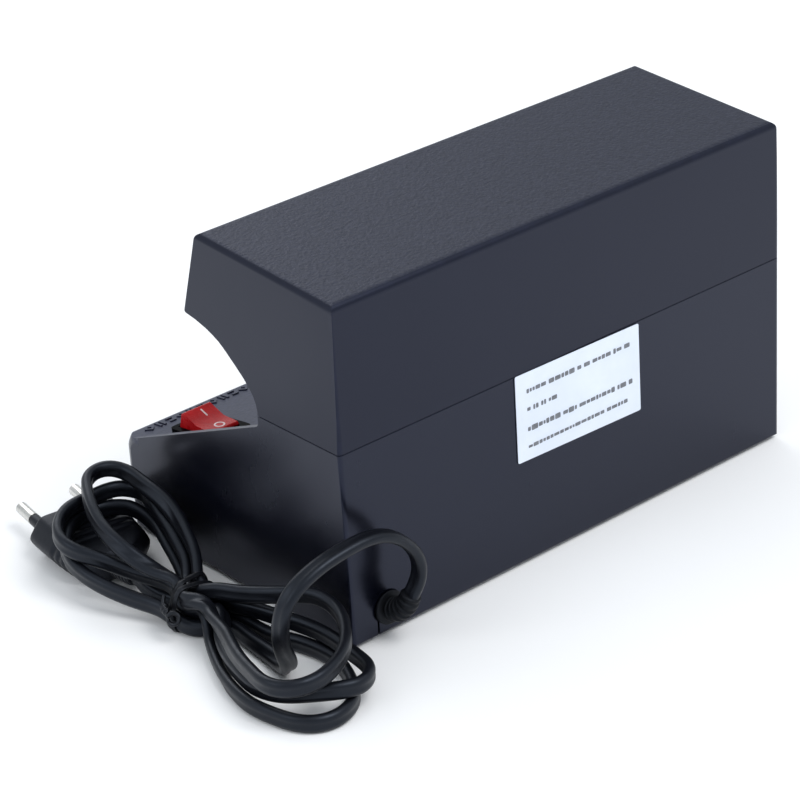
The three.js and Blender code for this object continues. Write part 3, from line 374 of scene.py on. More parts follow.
    (113.36,1.99,7.02,0.177,0.321,0.930), (112.44,0.26,7.75,0.145,0.334,0.931), (112.27,-1.66,8.49,0.116,0.360,0.926),
    (112.72,-3.56,9.19,0.092,0.343,0.935), (113.65,-5.36,9.71,0.081,0.322,0.943), (114.75,-7.08,10.22,0.061,0.324,0.944),
    (115.98,-8.74,10.73,0.044,0.329,0.943), (117.19,-10.39,11.26,0.029,0.336,0.941), (118.37,-12.06,11.84,0.013,0.341,0.940),
    (119.50,-13.74,12.45,-0.007,0.346,0.938), (120.61,-15.43,13.10,-0.032,0.347,0.937), (121.73,-17.12,13.77,-0.058,0.343,0.937),
    (122.88,-18.78,14.46,-0.081,0.330,0.941), (124.10,-20.42,15.14,-0.097,0.305,0.947), (125.37,-22.06,15.77,-0.107,0.276,0.955),
    (126.63,-23.72,16.37,-0.114,0.253,0.961), (127.77,-25.47,16.96,-0.118,0.241,0.963), (128.68,-27.35,17.53,-0.104,0.221,0.970),
    (129.21,-29.39,18.01,-0.084,0.203,0.976), (129.30,-31.50,18.45,-0.061,0.203,0.977), (128.97,-33.58,18.86,-0.034,0.199,0.979),
    (128.24,-35.56,19.24,-0.009,0.188,0.982), (127.20,-37.39,19.57,0.011,0.179,0.984), (125.90,-39.05,19.90,0.029,0.178,0.984),
    (124.40,-40.52,20.22,0.049,0.194,0.980), (122.73,-41.78,20.59,0.062,0.218,0.974), (120.88,-42.77,20.95,0.059,0.235,0.970),
    (118.87,-43.47,21.24,0.035,0.242,0.970), (116.73,-43.90,21.38,0.003,0.238,0.971), (114.52,-44.12,21.41,-0.018,0.228,0.974),
    (112.27,-44.24,21.38,-0.011,0.213,0.977), (110.01,-44.30,21.40,0.013,0.197,0.980), (107.73,-44.30,21.46,0.020,0.183,0.983),
    (105.48,-44.23,21.48,0.010,0.172,0.985), (103.28,-43.93,21.44,0.019,0.163,0.986), (101.21,-43.27,21.40,0.032,0.151,0.988),
    (99.43,-42.13,21.29,0.018,0.155,0.988), (97.99,-40.65,21.05,0.016,0.156,0.988), (96.93,-38.92,20.82,0.025,0.141,0.990),
    (96.28,-37.01,20.57,0.026,0.143,0.989), (96.16,-34.99,20.28,0.030,0.141,0.989), (96.53,-32.96,19.99,0.034,0.135,0.990),
    (97.11,-30.95,19.69,0.041,0.143,0.989), (97.73,-28.91,19.35,0.058,0.164,0.985), (98.29,-26.84,18.94,0.087,0.195,0.977),
    (98.80,-24.75,18.43,0.124,0.216,0.969), (99.28,-22.66,17.88,0.161,0.202,0.966), (99.75,-20.54,17.39,0.201,0.196,0.960),
    (100.26,-18.44,16.82,0.241,0.211,0.947), (100.81,-16.36,16.19,0.271,0.226,0.936), (101.36,-14.30,15.50,0.290,0.243,0.926),
    (101.91,-12.25,14.76,0.300,0.262,0.917), (102.46,-10.21,13.97,0.303,0.271,0.914), (103.05,-8.15,13.17,0.304,0.271,0.913),
    (103.80,-6.13,12.31,0.307,0.263,0.915), (104.80,-4.17,11.43,0.317,0.252,0.914), (106.07,-2.35,10.49,0.325,0.232,0.917),
    (107.46,-0.57,9.58,0.305,0.181,0.935), (108.83,1.30,8.88,0.247,0.096,0.964), (109.95,3.43,8.55,0.154,-0.047,0.987),
    (110.57,5.76,8.82,0.067,-0.239,0.969), (110.88,8.06,9.63,0.015,-0.380,0.925), (110.87,10.28,10.67,-0.016,-0.423,0.906),
    (110.34,12.42,11.65,-0.060,-0.401,0.914), (109.58,14.47,12.42,-0.121,-0.342,0.932), (108.78,16.48,12.94,-0.179,-0.267,0.947),
    (108.01,18.44,13.24,-0.213,-0.206,0.955), (107.29,20.38,13.45,-0.214,-0.190,0.958), (106.62,22.30,13.70,-0.191,-0.213,0.958),
    (106.01,24.22,14.05,-0.157,-0.241,0.958), (105.41,26.14,14.47,-0.119,-0.255,0.960), (104.77,28.06,14.92,-0.082,-0.255,0.963),
    (104.05,29.97,15.37,-0.047,-0.243,0.969), (103.23,31.86,15.79,-0.013,-0.219,0.976), (102.31,33.73,16.19,0.024,-0.186,0.982),
    (101.27,35.56,16.54,0.064,-0.146,0.987), (100.14,37.37,16.86,0.106,-0.100,0.989), (98.97,39.17,17.15,0.145,-0.052,0.988),
    (97.81,41.00,17.40,0.173,-0.006,0.985), (96.75,42.90,17.57,0.186,0.033,0.982), (95.89,44.90,17.63,0.183,0.062,0.981),
    (95.28,46.99,17.58,0.166,0.079,0.983), (94.96,49.14,17.44,0.140,0.086,0.986), (94.93,51.30,17.26,0.111,0.085,0.990),
    (95.18,53.46,17.05,0.083,0.079,0.993), (95.68,55.57,16.85,0.060,0.072,0.996), (96.40,57.62,16.68,0.045,0.066,0.997),
    (97.30,59.60,16.52,0.037,0.060,0.997), (98.36,61.52,16.37,0.035,0.056,0.998), (99.54,63.35,16.23,0.037,0.053,0.998),
    (100.83,65.12,16.08,0.042,0.051,0.998), (102.22,66.82,15.94,0.047,0.051,0.998), (103.69,68.44,15.78,0.051,0.050,0.997),
    (105.27,69.96,15.62,0.054,0.048,0.997), (106.97,71.36,15.46,0.056,0.045,0.997), (108.77,72.61,15.31,0.057,0.040,0.998),
    (110.67,73.71,15.16,0.057,0.033,0.998), (112.65,74.65,15.01,0.058,0.025,0.998), (114.70,75.43,14.88,0.061,0.016,0.998),
    (116.81,76.02,14.74,0.065,0.008,0.998), (118.96,76.38,14.59,0.068,-0.000,0.998), (121.14,76.44,14.44,0.070,-0.008,0.997),
    (123.29,76.14,14.29,0.072,-0.016,0.997), (125.34,75.44,14.13,0.070,-0.023,0.997), (127.19,74.35,13.97,0.061,-0.030,0.998),
    (128.75,72.88,13.84,0.045,-0.033,0.998), (129.95,71.12,13.74,0.027,-0.037,0.999), (130.71,69.14,13.65,0.010,-0.043,0.999),
    (131.05,67.04,13.55,-0.006,-0.052,0.999), (131.00,64.91,13.43,-0.020,-0.059,0.998), (130.68,62.80,13.29,-0.030,-0.064,0.997),
    (130.21,60.71,13.14,-0.037,-0.066,0.997), (129.66,58.64,12.98,-0.041,-0.067,0.997), (129.10,56.58,12.82,-0.045,-0.064,0.997),
    (128.53,54.52,12.66,-0.049,-0.055,0.997), (127.94,52.48,12.53,-0.055,-0.040,0.998), (127.32,50.44,12.43,-0.066,-0.018,0.998),
    (126.65,48.42,12.38,-0.082,0.006,0.997), (125.93,46.42,12.34,-0.107,0.012,0.994), (125.13,44.44,12.26,-0.135,0.003,0.991),
    (124.26,42.48,12.13,-0.158,-0.005,0.987), (123.34,40.53,11.95,-0.172,-0.009,0.985), (122.40,38.59,11.77,-0.176,-0.006,0.984),
    (121.50,36.61,11.60,-0.169,0.002,0.986), (120.66,34.60,11.48,-0.072,-0.024,0.997), (119.90,32.55,11.39,0.047,-0.052,0.998),
    (119.22,30.50,11.33,0.172,-0.079,0.982), (118.59,28.45,11.29,0.299,-0.110,0.948), (117.96,26.46,11.25,0.415,-0.148,0.897),
    (117.28,24.53,11.25,0.509,-0.197,0.838), (116.48,22.71,11.28,0.639,-0.135,0.757), (115.92,20.90,11.75,0.813,0.020,0.582),
    (115.77,19.09,12.39,0.967,0.077,0.242), (116.00,17.20,12.60,0.968,0.176,-0.177), (116.46,15.35,12.44,0.835,0.271,-0.479),
    (116.83,13.54,11.97,0.633,0.284,-0.720), (116.86,11.73,11.37,0.362,0.196,-0.911), (116.42,9.92,11.03,-0.009,0.162,-0.987),
    (115.50,8.30,10.81,-0.283,0.210,-0.936), (114.44,6.74,10.92,-0.530,0.024,-0.847), (113.93,5.05,11.70,-0.676,-0.147,-0.722),
    (113.53,3.26,12.47,-0.685,-0.242,-0.687), (113.86,1.30,13.09,-0.676,-0.339,-0.655), (114.49,-0.71,13.54,-0.761,-0.415,-0.499),
    (115.33,-2.66,14.14,-0.857,-0.468,-0.216), (116.25,-4.54,14.89,-0.908,-0.411,0.078), (117.16,-6.37,15.78,-0.909,-0.293,0.297),
    (118.03,-8.16,16.76,-0.884,-0.167,0.436), (118.81,-9.97,17.76,-0.845,-0.048,0.533), (119.48,-11.82,18.74,-0.784,0.062,0.617),
    (120.00,-13.74,19.65,-0.691,0.160,0.705), (120.34,-15.72,20.47,-0.559,0.234,0.796), (120.49,-17.77,21.18,-0.418,0.268,0.868),
    (120.46,-19.84,21.79,-0.365,0.266,0.892), (120.27,-21.93,22.33,-0.312,0.263,0.913), (119.93,-24.01,22.81,-0.260,0.262,0.929),
    (119.48,-26.08,23.28,-0.212,0.269,0.939), (118.93,-28.12,23.76,-0.171,0.281,0.944), (118.28,-30.13,24.27,-0.139,0.290,0.947),
    (117.54,-32.11,24.78,-0.116,0.290,0.950), (116.70,-34.05,25.27,-0.099,0.277,0.956), (115.77,-35.95,25.71,-0.084,0.253,0.964),
    (114.77,-37.82,26.10,-0.067,0.223,0.972), (113.72,-39.66,26.43,-0.044,0.198,0.979), (112.65,-41.46,26.73,-0.014,0.187,0.982),
    (111.48,-43.12,27.05,0.017,0.192,0.981), (110.13,-44.57,27.39,0.047,0.209,0.977), (108.49,-45.55,27.71,0.068,0.225,0.972),
    (106.70,-46.09,27.98,0.073,0.236,0.969), (104.83,-46.14,28.13,0.061,0.241,0.968), (103.00,-45.73,28.12,0.030,0.243,0.969),
    (101.30,-44.87,27.92,-0.014,0.242,0.970), (99.85,-43.60,27.54,-0.060,0.232,0.971), (98.74,-41.97,27.07,-0.103,0.200,0.974),
    (98.07,-40.03,26.62,-0.170,0.183,0.968), (97.78,-37.94,26.14,-0.248,0.189,0.950), (97.71,-35.77,25.68,-0.330,0.173,0.928),
    (97.72,-33.54,25.30,-0.416,0.146,0.898), (97.74,-31.28,24.96,-0.502,0.122,0.856), (97.73,-29.01,24.66,-0.581,0.119,0.805),
    (97.72,-26.76,24.28,-0.644,0.141,0.752), (97.71,-24.53,23.79,-0.677,0.181,0.713), (97.74,-22.35,23.18,-0.668,0.248,0.702),
    (97.84,-20.24,22.40,-0.609,0.334,0.719), (98.05,-18.19,21.51,-0.513,0.393,0.763), (98.35,-16.14,20.63,-0.403,0.412,0.817),
    (98.76,-14.09,19.79,-0.293,0.410,0.864), (99.28,-12.04,19.00,-0.193,0.383,0.903), (99.87,-9.96,18.28,-0.097,0.359,0.928),
    (100.55,-7.91,17.54,-0.010,0.328,0.945), (101.25,-5.85,16.87,0.065,0.307,0.949), (102.03,-3.85,16.12,0.132,0.326,0.936),
    (102.92,-1.94,15.27,0.174,0.345,0.922), (103.96,-0.12,14.36,0.190,0.364,0.912), (105.16,1.58,13.40,0.193,0.393,0.899),
    (106.39,3.21,12.39,0.173,0.408,0.896), (107.31,5.00,11.43,0.162,0.449,0.879), (107.54,6.84,10.32,0.141,0.501,0.854),
    (107.40,8.68,9.25,0.126,0.414,0.901), (107.01,10.66,8.64,0.153,0.246,0.957), (106.55,12.71,8.36,0.183,0.139,0.973),
    (106.24,14.80,8.19,0.205,0.081,0.975), (106.01,16.90,8.12,0.218,0.040,0.975), (105.66,18.98,8.15,0.216,0.015,0.976),
    (105.12,20.99,8.26,0.201,0.014,0.980), (104.44,22.95,8.34,0.174,0.039,0.984), (103.73,24.89,8.35,0.153,0.053,0.987),
    (103.07,26.84,8.34,0.137,0.053,0.989), (102.48,28.82,8.31,0.122,0.050,0.991), (101.93,30.83,8.28,0.107,0.046,0.993),
    (101.38,32.86,8.25,0.092,0.041,0.995), (100.80,34.90,8.22,0.077,0.038,0.996), (100.21,36.95,8.18,0.062,0.034,0.998),
    (99.62,39.03,8.15,0.049,0.029,0.998), (99.08,41.12,8.12,0.037,0.022,0.999), (98.61,43.24,8.09,0.029,0.014,0.999),
    (98.23,45.39,8.08,0.024,0.005,1.000), (97.95,47.55,8.09,0.023,-0.003,1.000), (97.78,49.73,8.11,0.025,-0.011,1.000),
    (97.72,51.91,8.14,0.028,-0.014,1.000), (97.74,54.09,8.17,0.030,-0.005,1.000), (97.84,56.27,8.16,0.029,0.011,1.000),
    (97.97,58.44,8.11,0.025,0.028,0.999), (98.14,60.60,8.03,0.017,0.030,0.999), (98.32,62.77,7.97,0.007,0.023,1.000),
    (98.53,64.94,7.93,-0.002,0.018,1.000), (98.75,67.11,7.90,-0.009,0.015,1.000), (99.03,69.28,7.87,-0.015,0.014,1.000),
    (99.45,71.42,7.85,-0.020,0.016,1.000), (100.16,73.46,7.83,-0.024,0.023,0.999), (101.29,75.29,7.80,-0.025,0.029,0.999),
    (102.83,76.77,7.80,-0.028,0.026,0.999), (104.66,77.86,7.83,-0.041,0.008,0.999), (106.71,78.51,7.94,-0.067,-0.021,0.998),
    (108.87,78.67,8.13,-0.095,-0.050,0.994), (111.03,78.28,8.34,-0.082,-0.082,0.993), (113.08,77.43,8.38,-0.065,-0.114,0.991),
    (114.98,76.25,8.37,-0.064,-0.128,0.990), (116.74,74.88,8.28,-0.047,-0.138,0.989), (118.41,73.40,8.13,-0.022,-0.140,0.990),
    (119.99,71.85,7.93,0.005,-0.132,0.991), (121.50,70.23,7.70,0.032,-0.115,0.993), (122.91,68.55,7.45,0.055,-0.091,0.994),
    (124.20,66.77,7.23,0.073,-0.065,0.995), (125.31,64.89,7.04,0.088,-0.043,0.995), (126.20,62.91,6.88,0.103,-0.030,0.994),
    (126.86,60.86,6.76,0.115,-0.025,0.993), (127.29,58.75,6.65,0.123,-0.021,0.992), (127.49,56.61,6.59,0.124,-0.012,0.992),
    (127.47,54.46,6.58,0.118,0.011,0.993), (127.24,52.32,6.66,0.107,0.025,0.994), (126.87,50.18,6.75,0.094,0.008,0.996),
    (126.40,48.05,6.78,0.087,-0.023,0.996), (125.84,45.92,6.74,0.094,-0.053,0.994), (125.19,43.79,6.66,0.116,-0.083,0.990),
    (124.45,41.69,6.55,0.151,-0.116,0.982), (123.61,39.61,6.41,0.197,-0.150,0.969), (122.68,37.57,6.27,0.250,-0.181,0.951),
    (121.68,35.56,6.15,0.307,-0.212,0.928), (120.62,33.59,6.05,0.363,-0.240,0.900), (119.52,31.66,5.98,0.417,-0.265,0.870),
    (118.38,29.79,5.97,0.466,-0.282,0.839), (117.17,27.97,6.05,0.507,-0.289,0.812), (115.85,26.26,6.29,0.542,-0.279,0.793),
    (114.42,24.69,6.77,0.566,-0.259,0.782), (112.99,23.11,7.32,0.569,-0.241,0.786), (111.67,21.39,7.74,0.552,-0.223,0.804),
    (110.62,19.46,7.93,0.474,-0.269,0.838), (109.96,17.40,7.43,0.383,-0.344,0.857), (109.80,15.34,6.65,0.307,-0.349,0.885),
    (110.07,13.29,5.77,0.230,-0.336,0.913), (110.65,11.27,4.93,0.164,-0.325,0.931), (111.08,9.17,4.16,0.102,-0.293,0.951),
    (111.20,6.96,3.54,0.044,-0.224,0.974), (111.01,4.70,3.13,-0.010,-0.160,0.987), (110.82,2.42,2.80,-0.063,-0.076,0.995),
    (111.06,0.13,2.79,-0.113,-0.019,0.993), (111.73,-2.07,2.82,-0.135,0.024,0.991), (112.55,-4.21,3.09,-0.140,0.116,0.983),
    (113.42,-6.29,3.56,-0.119,0.213,0.970), (114.17,-8.37,4.21,-0.089,0.301,0.950), (114.66,-10.46,5.00,-0.055,0.349,0.936),
    (114.84,-12.57,5.81,-0.023,0.361,0.932), (114.73,-14.72,6.65,-0.002,0.190,0.982), (114.42,-16.90,6.65,0.000,0.000,1.000),]
LEAD = np.array(LEAD)
LEAD_X, LEAD_W = LEAD[:, :3], unit(LEAD[:, 3:])
# tucked into the strain relief at one end and the plug's neck at the other
PLUG_PITCH = math.radians(2)
PLUG_O = np.array([108.4, -57.4, 7.1])
PLUG_X = np.array([-0.9902, 0.14, 0.0])
PLUG_FLAT = np.array([-0.14, -0.9902, 0.0])
PLUG_Y = PLUG_FLAT * math.cos(PLUG_PITCH) + np.array([0, 0, math.sin(PLUG_PITCH)])
PLUG_Z = np.array([0, 0, math.cos(PLUG_PITCH)]) - PLUG_FLAT * math.sin(PLUG_PITCH)
RELIEF = np.array([[76, 45.9, 9.4], [76, 51.3, 9.4], [76, 55.9, 9.4], [76, 58.6, 10.2], [75.8, 60.8, 11.8],
                   [75.3, 62.4, 14.1], [74.6, 63.3, 16.7]], float)
tail = [LEAD_X[-1] + PLUG_Y * 1.6, LEAD_X[-1] + PLUG_Y * 3.4]
head = [RELIEF[-1] + (RELIEF[-2] - RELIEF[-1]) * 0.75]
LEAD_X = np.vstack([head, LEAD_X, tail])
LEAD_W = np.vstack([LEAD_W[:1], LEAD_W, LEAD_W[-1:], LEAD_W[-1:]])
centre = catmull(LEAD_X, 2)
wide = np.repeat(LEAD_W, 2, axis=0)[:-1].copy()
wide[1::2] = unit(LEAD_W[:-1] + LEAD_W[1:])
along = unit(np.gradient(centre, axis=0))
wide = unit(wide - (wide * along).sum(1, keepdims=True) * along)
thin = np.cross(along, wide)


def twin_section(r=1.7, off=1.05, n=11, web=1.56):
    """Two round cores side by side, with a shallow valley between them."""
    pts = []
    first = math.acos(-off / r) * 0.78
    for s in (1, -1):
        for k in range(n):
            a = -first + 2 * first * k / (n - 1)
            x, y = off + r * math.cos(a), r * math.sin(a)
            pts.append((s * x, s * y))
        pts.append((0.0, s * web * 0.94))
    # order: round the first core, over the valley, round the other core, back
    return np.array(pts)


SECTION = twin_section()
rings = []
for i in range(len(centre)):
    rings.append(centre[i] + np.outer(SECTION[:, 0], wide[i]) + np.outer(SECTION[:, 1], thin[i]))
v, f = loft(rings)
mains_cord = make("mains_cord", v, f)


def cord_material():
    t = Tree("cord_sheath")
    n = t.noise(140, 4, 0.6)
    t.set("Base Color", t.mix(t.remap(n, 0.3, 0.7, 0, 1), (0.0020, 0.0022, 0.0036), (0.0038, 0.0042, 0.0064)))
    dust = t.noise(1500, 2, 0.5)
    t.set("Roughness", t.remap(t.noise(320, 3, 0.6), 0.25, 0.75, 0.33, 0.44))
    soft = t.bump(t.noise(210, 3, 0.5), 0.25, 0.0003)
    t.set("Normal", t.bump(dust, 0.12, 0.00008, soft))
    t.set("Specular IOR Level", 0.36)
    t.set("Specular Tint", (0.72, 0.82, 1.0))
    return t.mat


CORD = cord_material()
finish_piece(mains_cord, "housing", CORD, ("mains_lead", "cord_hank", "plug_lead"))

# ------------------------------------------------------------------ strain relief: ribbed, bends up to the lead
spine = catmull(RELIEF, 14)
arc = np.concatenate([[0], np.cumsum(np.linalg.norm(np.diff(spine, axis=0), axis=1))])


def on_spine(s):
    return np.array([np.interp(s, arc, spine[:, k]) for k in range(3)])


def y_of(y):
    return y - 45.9


stations = [(y_of(45.9), 3.5, 1), (y_of(46.2), 3.7, 1), (y_of(47.6), 4.2, 1), (y_of(47.65), 5.35, 1), (y_of(47.9), 5.5, 1), (y_of(50.9), 5.5, 1),
            (y_of(51.1), 5.3, 1), (y_of(51.12), 4.4, 1), (y_of(54.42), 4.4, 1), (y_of(54.46), 5.2, 1), (y_of(54.6), 5.35, 1),
            (y_of(55.2), 5.25, 1), (y_of(55.45), 4.9, 1), (y_of(55.5), 3.7, 1)]
start, end, ribs = y_of(55.7), float(arc[-1]), 6
pitch = (end - start) / ribs
for i in range(ribs):
    g = i / ribs
    core, top = 3.05 - 0.32 * g, 3.85 - 0.78 * g
    o = 1 + 0.12 * (i + 1) / ribs
    for d, r in ((0.06, core), (0.30, core), (0.36, top - 0.2), (0.42, top), (0.80, top - 0.05), (0.88, top - 0.3), (0.94, core)):
        stations.append((start + (i + d) * pitch, r, o))
stations.append((end - 0.02, 2.75, 1.13))
P = np.array([on_spine(s) for s, _, _ in stations])
# the side axis of each section comes from the X direction, squared to the spine; the sections stay round
t0 = unit(np.gradient(spine, axis=0))
R = []
ang = np.linspace(0, 2 * math.pi, 32, endpoint=False)
side = np.array([1.0, 0, 0])
for s, r, o in stations:
    tt = unit(np.array([np.interp(s, arc, t0[:, k]) for k in range(3)]))
    w = unit(side - (side @ tt) * tt)
    b = np.cross(tt, w)
    p = on_spine(s)
    R.append(p + np.outer(np.cos(ang), w) * r + np.outer(np.sin(ang), b) * r)
v, f = loft(R)
relief = make("lead_strain_relief", v, f)
bev = relief.modifiers.new("bevel", "BEVEL")
bev.width, bev.segments, bev.limit_method, bev.angle_limit = 0.00018, 2, "ANGLE", math.radians(38)
RELIEF_MAT = plain("relief_rubber", (0.0022, 0.0023, 0.0032), 0.55, mottle=0.15, mottle_scale=260, grain=1500, grain_strength=0.2,
                   Specular_IOR_Level=0.24, Specular_Tint=(0.78, 0.86, 1.0))
finish_piece(relief, "housing", RELIEF_MAT, ("strain_relief",))


# ------------------------------------------------------------------ plug: flat two-pin, lying on its side
def at_plug(p):
    p = np.asarray(p, float).reshape(-1, 3)
    return PLUG_O + np.outer(p[:, 0], PLUG_X) + np.outer(p[:, 1], PLUG_Y) + np.outer(p[:, 2], PLUG_Z)


def hexagon(n=64):
    """The plug's section: a flat hexagon with rounded corners, as n points."""
    corners = np.array([(15.8, 0), (11.5, 6.45), (-11.5, 6.45), (-15.8, 0), (-11.5, -6.45), (11.5, -6.45)], float)
    P = corners
    for _ in range(3):
        Q = []
        for i in range(len(P)):
            a, b = P[i], P[(i + 1) % len(P)]
            length = np.linalg.norm(b - a)
            k = min(0.25, 0.9 / length)
            Q += [a + (b - a) * k, b - (b - a) * k]
        P = np.array(Q)
    P = np.vstack([P, P[:1]])
    L = np.concatenate([[0], np.cumsum(np.linalg.norm(np.diff(P, axis=0), axis=1))])
    a0 = np.linspace(0, L[-1], n, endpoint=False)
    out = np.stack([np.interp(a0, L, P[:, k]) for k in (0, 1)], 1)
    out[:, 0] *= 15.75 / np.abs(out[:, 0]).max()
    out[:, 1] *= 6.45 / np.abs(out[:, 1]).max()
    return out


HEX = hexagon()
theta = np.arctan2(HEX[:, 1] / 6.4, HEX[:, 0] / 15.75)
CIRC = np.stack([np.cos(theta), np.sin(theta)], 1)
rows = []
for y, sx, sz in ((0.0, 0.95, 0.90), (-0.12, 0.972, 0.945), (-0.4, 0.99, 0.98), (-0.8, 0.998, 0.997), (-1.4, 1, 1), (-4, 1, 1), (-8, 0.985, 1), (-12, 0.97, 1), (-13.4, 0.962, 0.99),
                  (-13.8, 0.94, 0.955), (-14.6, 0.937, 0.955), (-15.0, 0.95, 0.985), (-16.6, 0.944, 0.985), (-17.0, 0.92, 0.95), (-17.8, 0.917, 0.945), (-18.2, 0.93, 0.97),
                  (-19.8, 0.923, 0.965), (-20.2, 0.90, 0.93), (-21.0, 0.895, 0.925), (-21.4, 0.905, 0.945), (-23.2, 0.88, 0.93), (-25, 0.82, 0.91), (-26.6, 0.72, 0.87), (-28.2, 0.59, 0.82), (-29.2, 0.49, 0.78)):
    rows.append((y, HEX * np.array([sx, sz])))
for y, r in ((-29.8, 4.6), (-30.3, 4.3)):
    rows.append((y, CIRC * r))
neck_ribs = 5
for i in range(neck_ribs):
    y0 = -30.6 - i * 1.86
    g = i / neck_ribs
    core, top = 3.55 - 0.5 * g, 4.3 - 0.9 * g
    for d, r in ((0.0, top - 0.1), (0.12, top), (0.55, top - 0.04), (0.66, top - 0.2), (0.72, core), (0.94, core)):
        rows.append((y0 - 1.86 * d, CIRC * r))
rows.append((-40.0, CIRC * np.array([3.05, 2.95])))


def neck_lift(y):
    """The neck bends up a little to meet the lead."""
    u = min(max((-30.0 - y) / 10.0, 0.0), 1.0)
    return 0.9 * u * u


rings = [at_plug(np.column_stack([s[:, 0], np.full(len(s), y), s[:, 1] + neck_lift(y)])) for y, s in rows]
v, f = loft(rings)
plug_shell = make("plug_shell", v, f)
bev = plug_shell.modifiers.new("bevel", "BEVEL")
bev.width, bev.segments, bev.limit_method, bev.angle_limit = 0.00025, 2, "ANGLE", math.radians(40)
PLUG_MAT = plain("plug_plastic", (0.0026, 0.0028, 0.0044), 0.44, mottle=0.14, mottle_scale=120, grain=1700, grain_strength=0.22,
                 Specular_IOR_Level=0.32, Specular_Tint=(0.74, 0.82, 1.0))
finish_piece(plug_shell, "housing", PLUG_MAT, ("plug_body",))
for i, x in enumerate((-9.3, 9.3)):
    ys = [(-0.4, 2.7), (0.25, 2.65), (0.5, 2.3), (0.75, 2.0), (4.5, 1.97), (8.6, 1.93), (9.1, 1.85), (9.35, 1.6), (9.4, 1.2)]
    a = np.linspace(0, 2 * math.pi, 28, endpoint=False)
    rings = [at_plug(np.column_stack([x + np.cos(a) * r, np.full(28, y), np.sin(a) * r])) for y, r in ys]
    v, f = loft(rings)
    sleeve = make("plug_pin_sleeve_%d" % (i + 1), v, f)
    finish_piece(sleeve, "housing", PLUG_MAT)

# ------------------------------------------------------------------ twist tie: a flat coated wire, two turns and a twisted knot
TIE_Y = 7.4


def bundle_outline(y0, gap):
    """The outline of everything the tie holds, at one place along the bundle."""
    pts = []
    near = (np.abs(centre[:, 1] - y0) < 1.6) & (centre[:, 0] > 100) & (centre[:, 0] < 126) & (centre[:, 2] < 20)
    for i in np.where(near)[0]:
        ring = centre[i] + np.outer(SECTION[:, 0], wide[i]) + np.outer(SECTION[:, 1], thin[i])
        pts.append(ring[:, (0, 2)])
    pts = np.unique(np.round(np.vstack(pts), 3), axis=0)
    pts = pts[np.lexsort((pts[:, 1], pts[:, 0]))]

    def half(seq):
        h = []
        for p in seq:
            while len(h) > 1 and np.cross(h[-1] - h[-2], p - h[-2]) <= 0:
                h.pop()
            h.append(p)
        return h[:-1]

    hull = np.array(half(pts) + half(pts[::-1]))
    closed = np.vstack([hull, hull[:1]])
    L = np.concatenate([[0], np.cumsum(np.linalg.norm(np.diff(closed, axis=0), axis=1))])
    s = np.linspace(0, L[-1], 72, endpoint=False)
    loop = np.stack([np.interp(s, L, closed[:, k]) for k in (0, 1)], 1)
    for _ in range(4):
        loop = (np.roll(loop, 1, 0) + 2 * loop + np.roll(loop, -1, 0)) / 4
    d = unit(np.roll(loop, -1, 0) - np.roll(loop, 1, 0))
    out = np.stack([d[:, 1], -d[:, 0]], 1)
    if ((loop - loop.mean(0)) * out).sum() < 0:
        out = -out
    return loop + out * gap, out


TIE_MAT = plain("tie_plastic", (0.0022, 0.0023, 0.003), 0.38, mottle=0.2, mottle_scale=400, grain=2200, grain_strength=0.2,
                Specular_IOR_Level=0.4, Specular_Tint=(0.8, 0.86, 1.0))
# half profile of the flat strip: thin wings and the wire in the middle
STRIP = [(-1.15, -0.12), (-0.62, -0.2), (-0.34, -0.2), (0.34, -0.2), (0.62, -0.2), (1.15, -0.12), (1.2, 0.06), (1.1, 0.22), (0.6, 0.26), (0.36, 0.5),
         (0, 0.62), (-0.36, 0.5), (-0.6, 0.26), (-1.1, 0.22), (-1.2, 0.06)]
for i, (y0, tilt) in enumerate(((6.2, 0.9), (8.9, -0.7))):
    loop, out = bundle_outline(y0, 0.42)
    loop[:, 1] = np.maximum(loop[:, 1], 0.74)
    mid = loop.mean(0)
    rings = []
    for k in range(len(loop)):
        x, z = loop[k]
        y = y0 + tilt * (x - mid[0]) / 8.0
        n = np.array([out[k][0], 0, out[k][1]])
        w = np.array([0, 1.0, 0])
        rings.append(np.array([[x, y, z] + w * a + n * b for a, b in STRIP]))
    v, f = loft(rings, closed=True)
    band = make("tie_band_%d" % (i + 1), v, f)
    finish_piece(band, "housing", TIE_MAT, ("twist_tie",) if i == 0 else ())
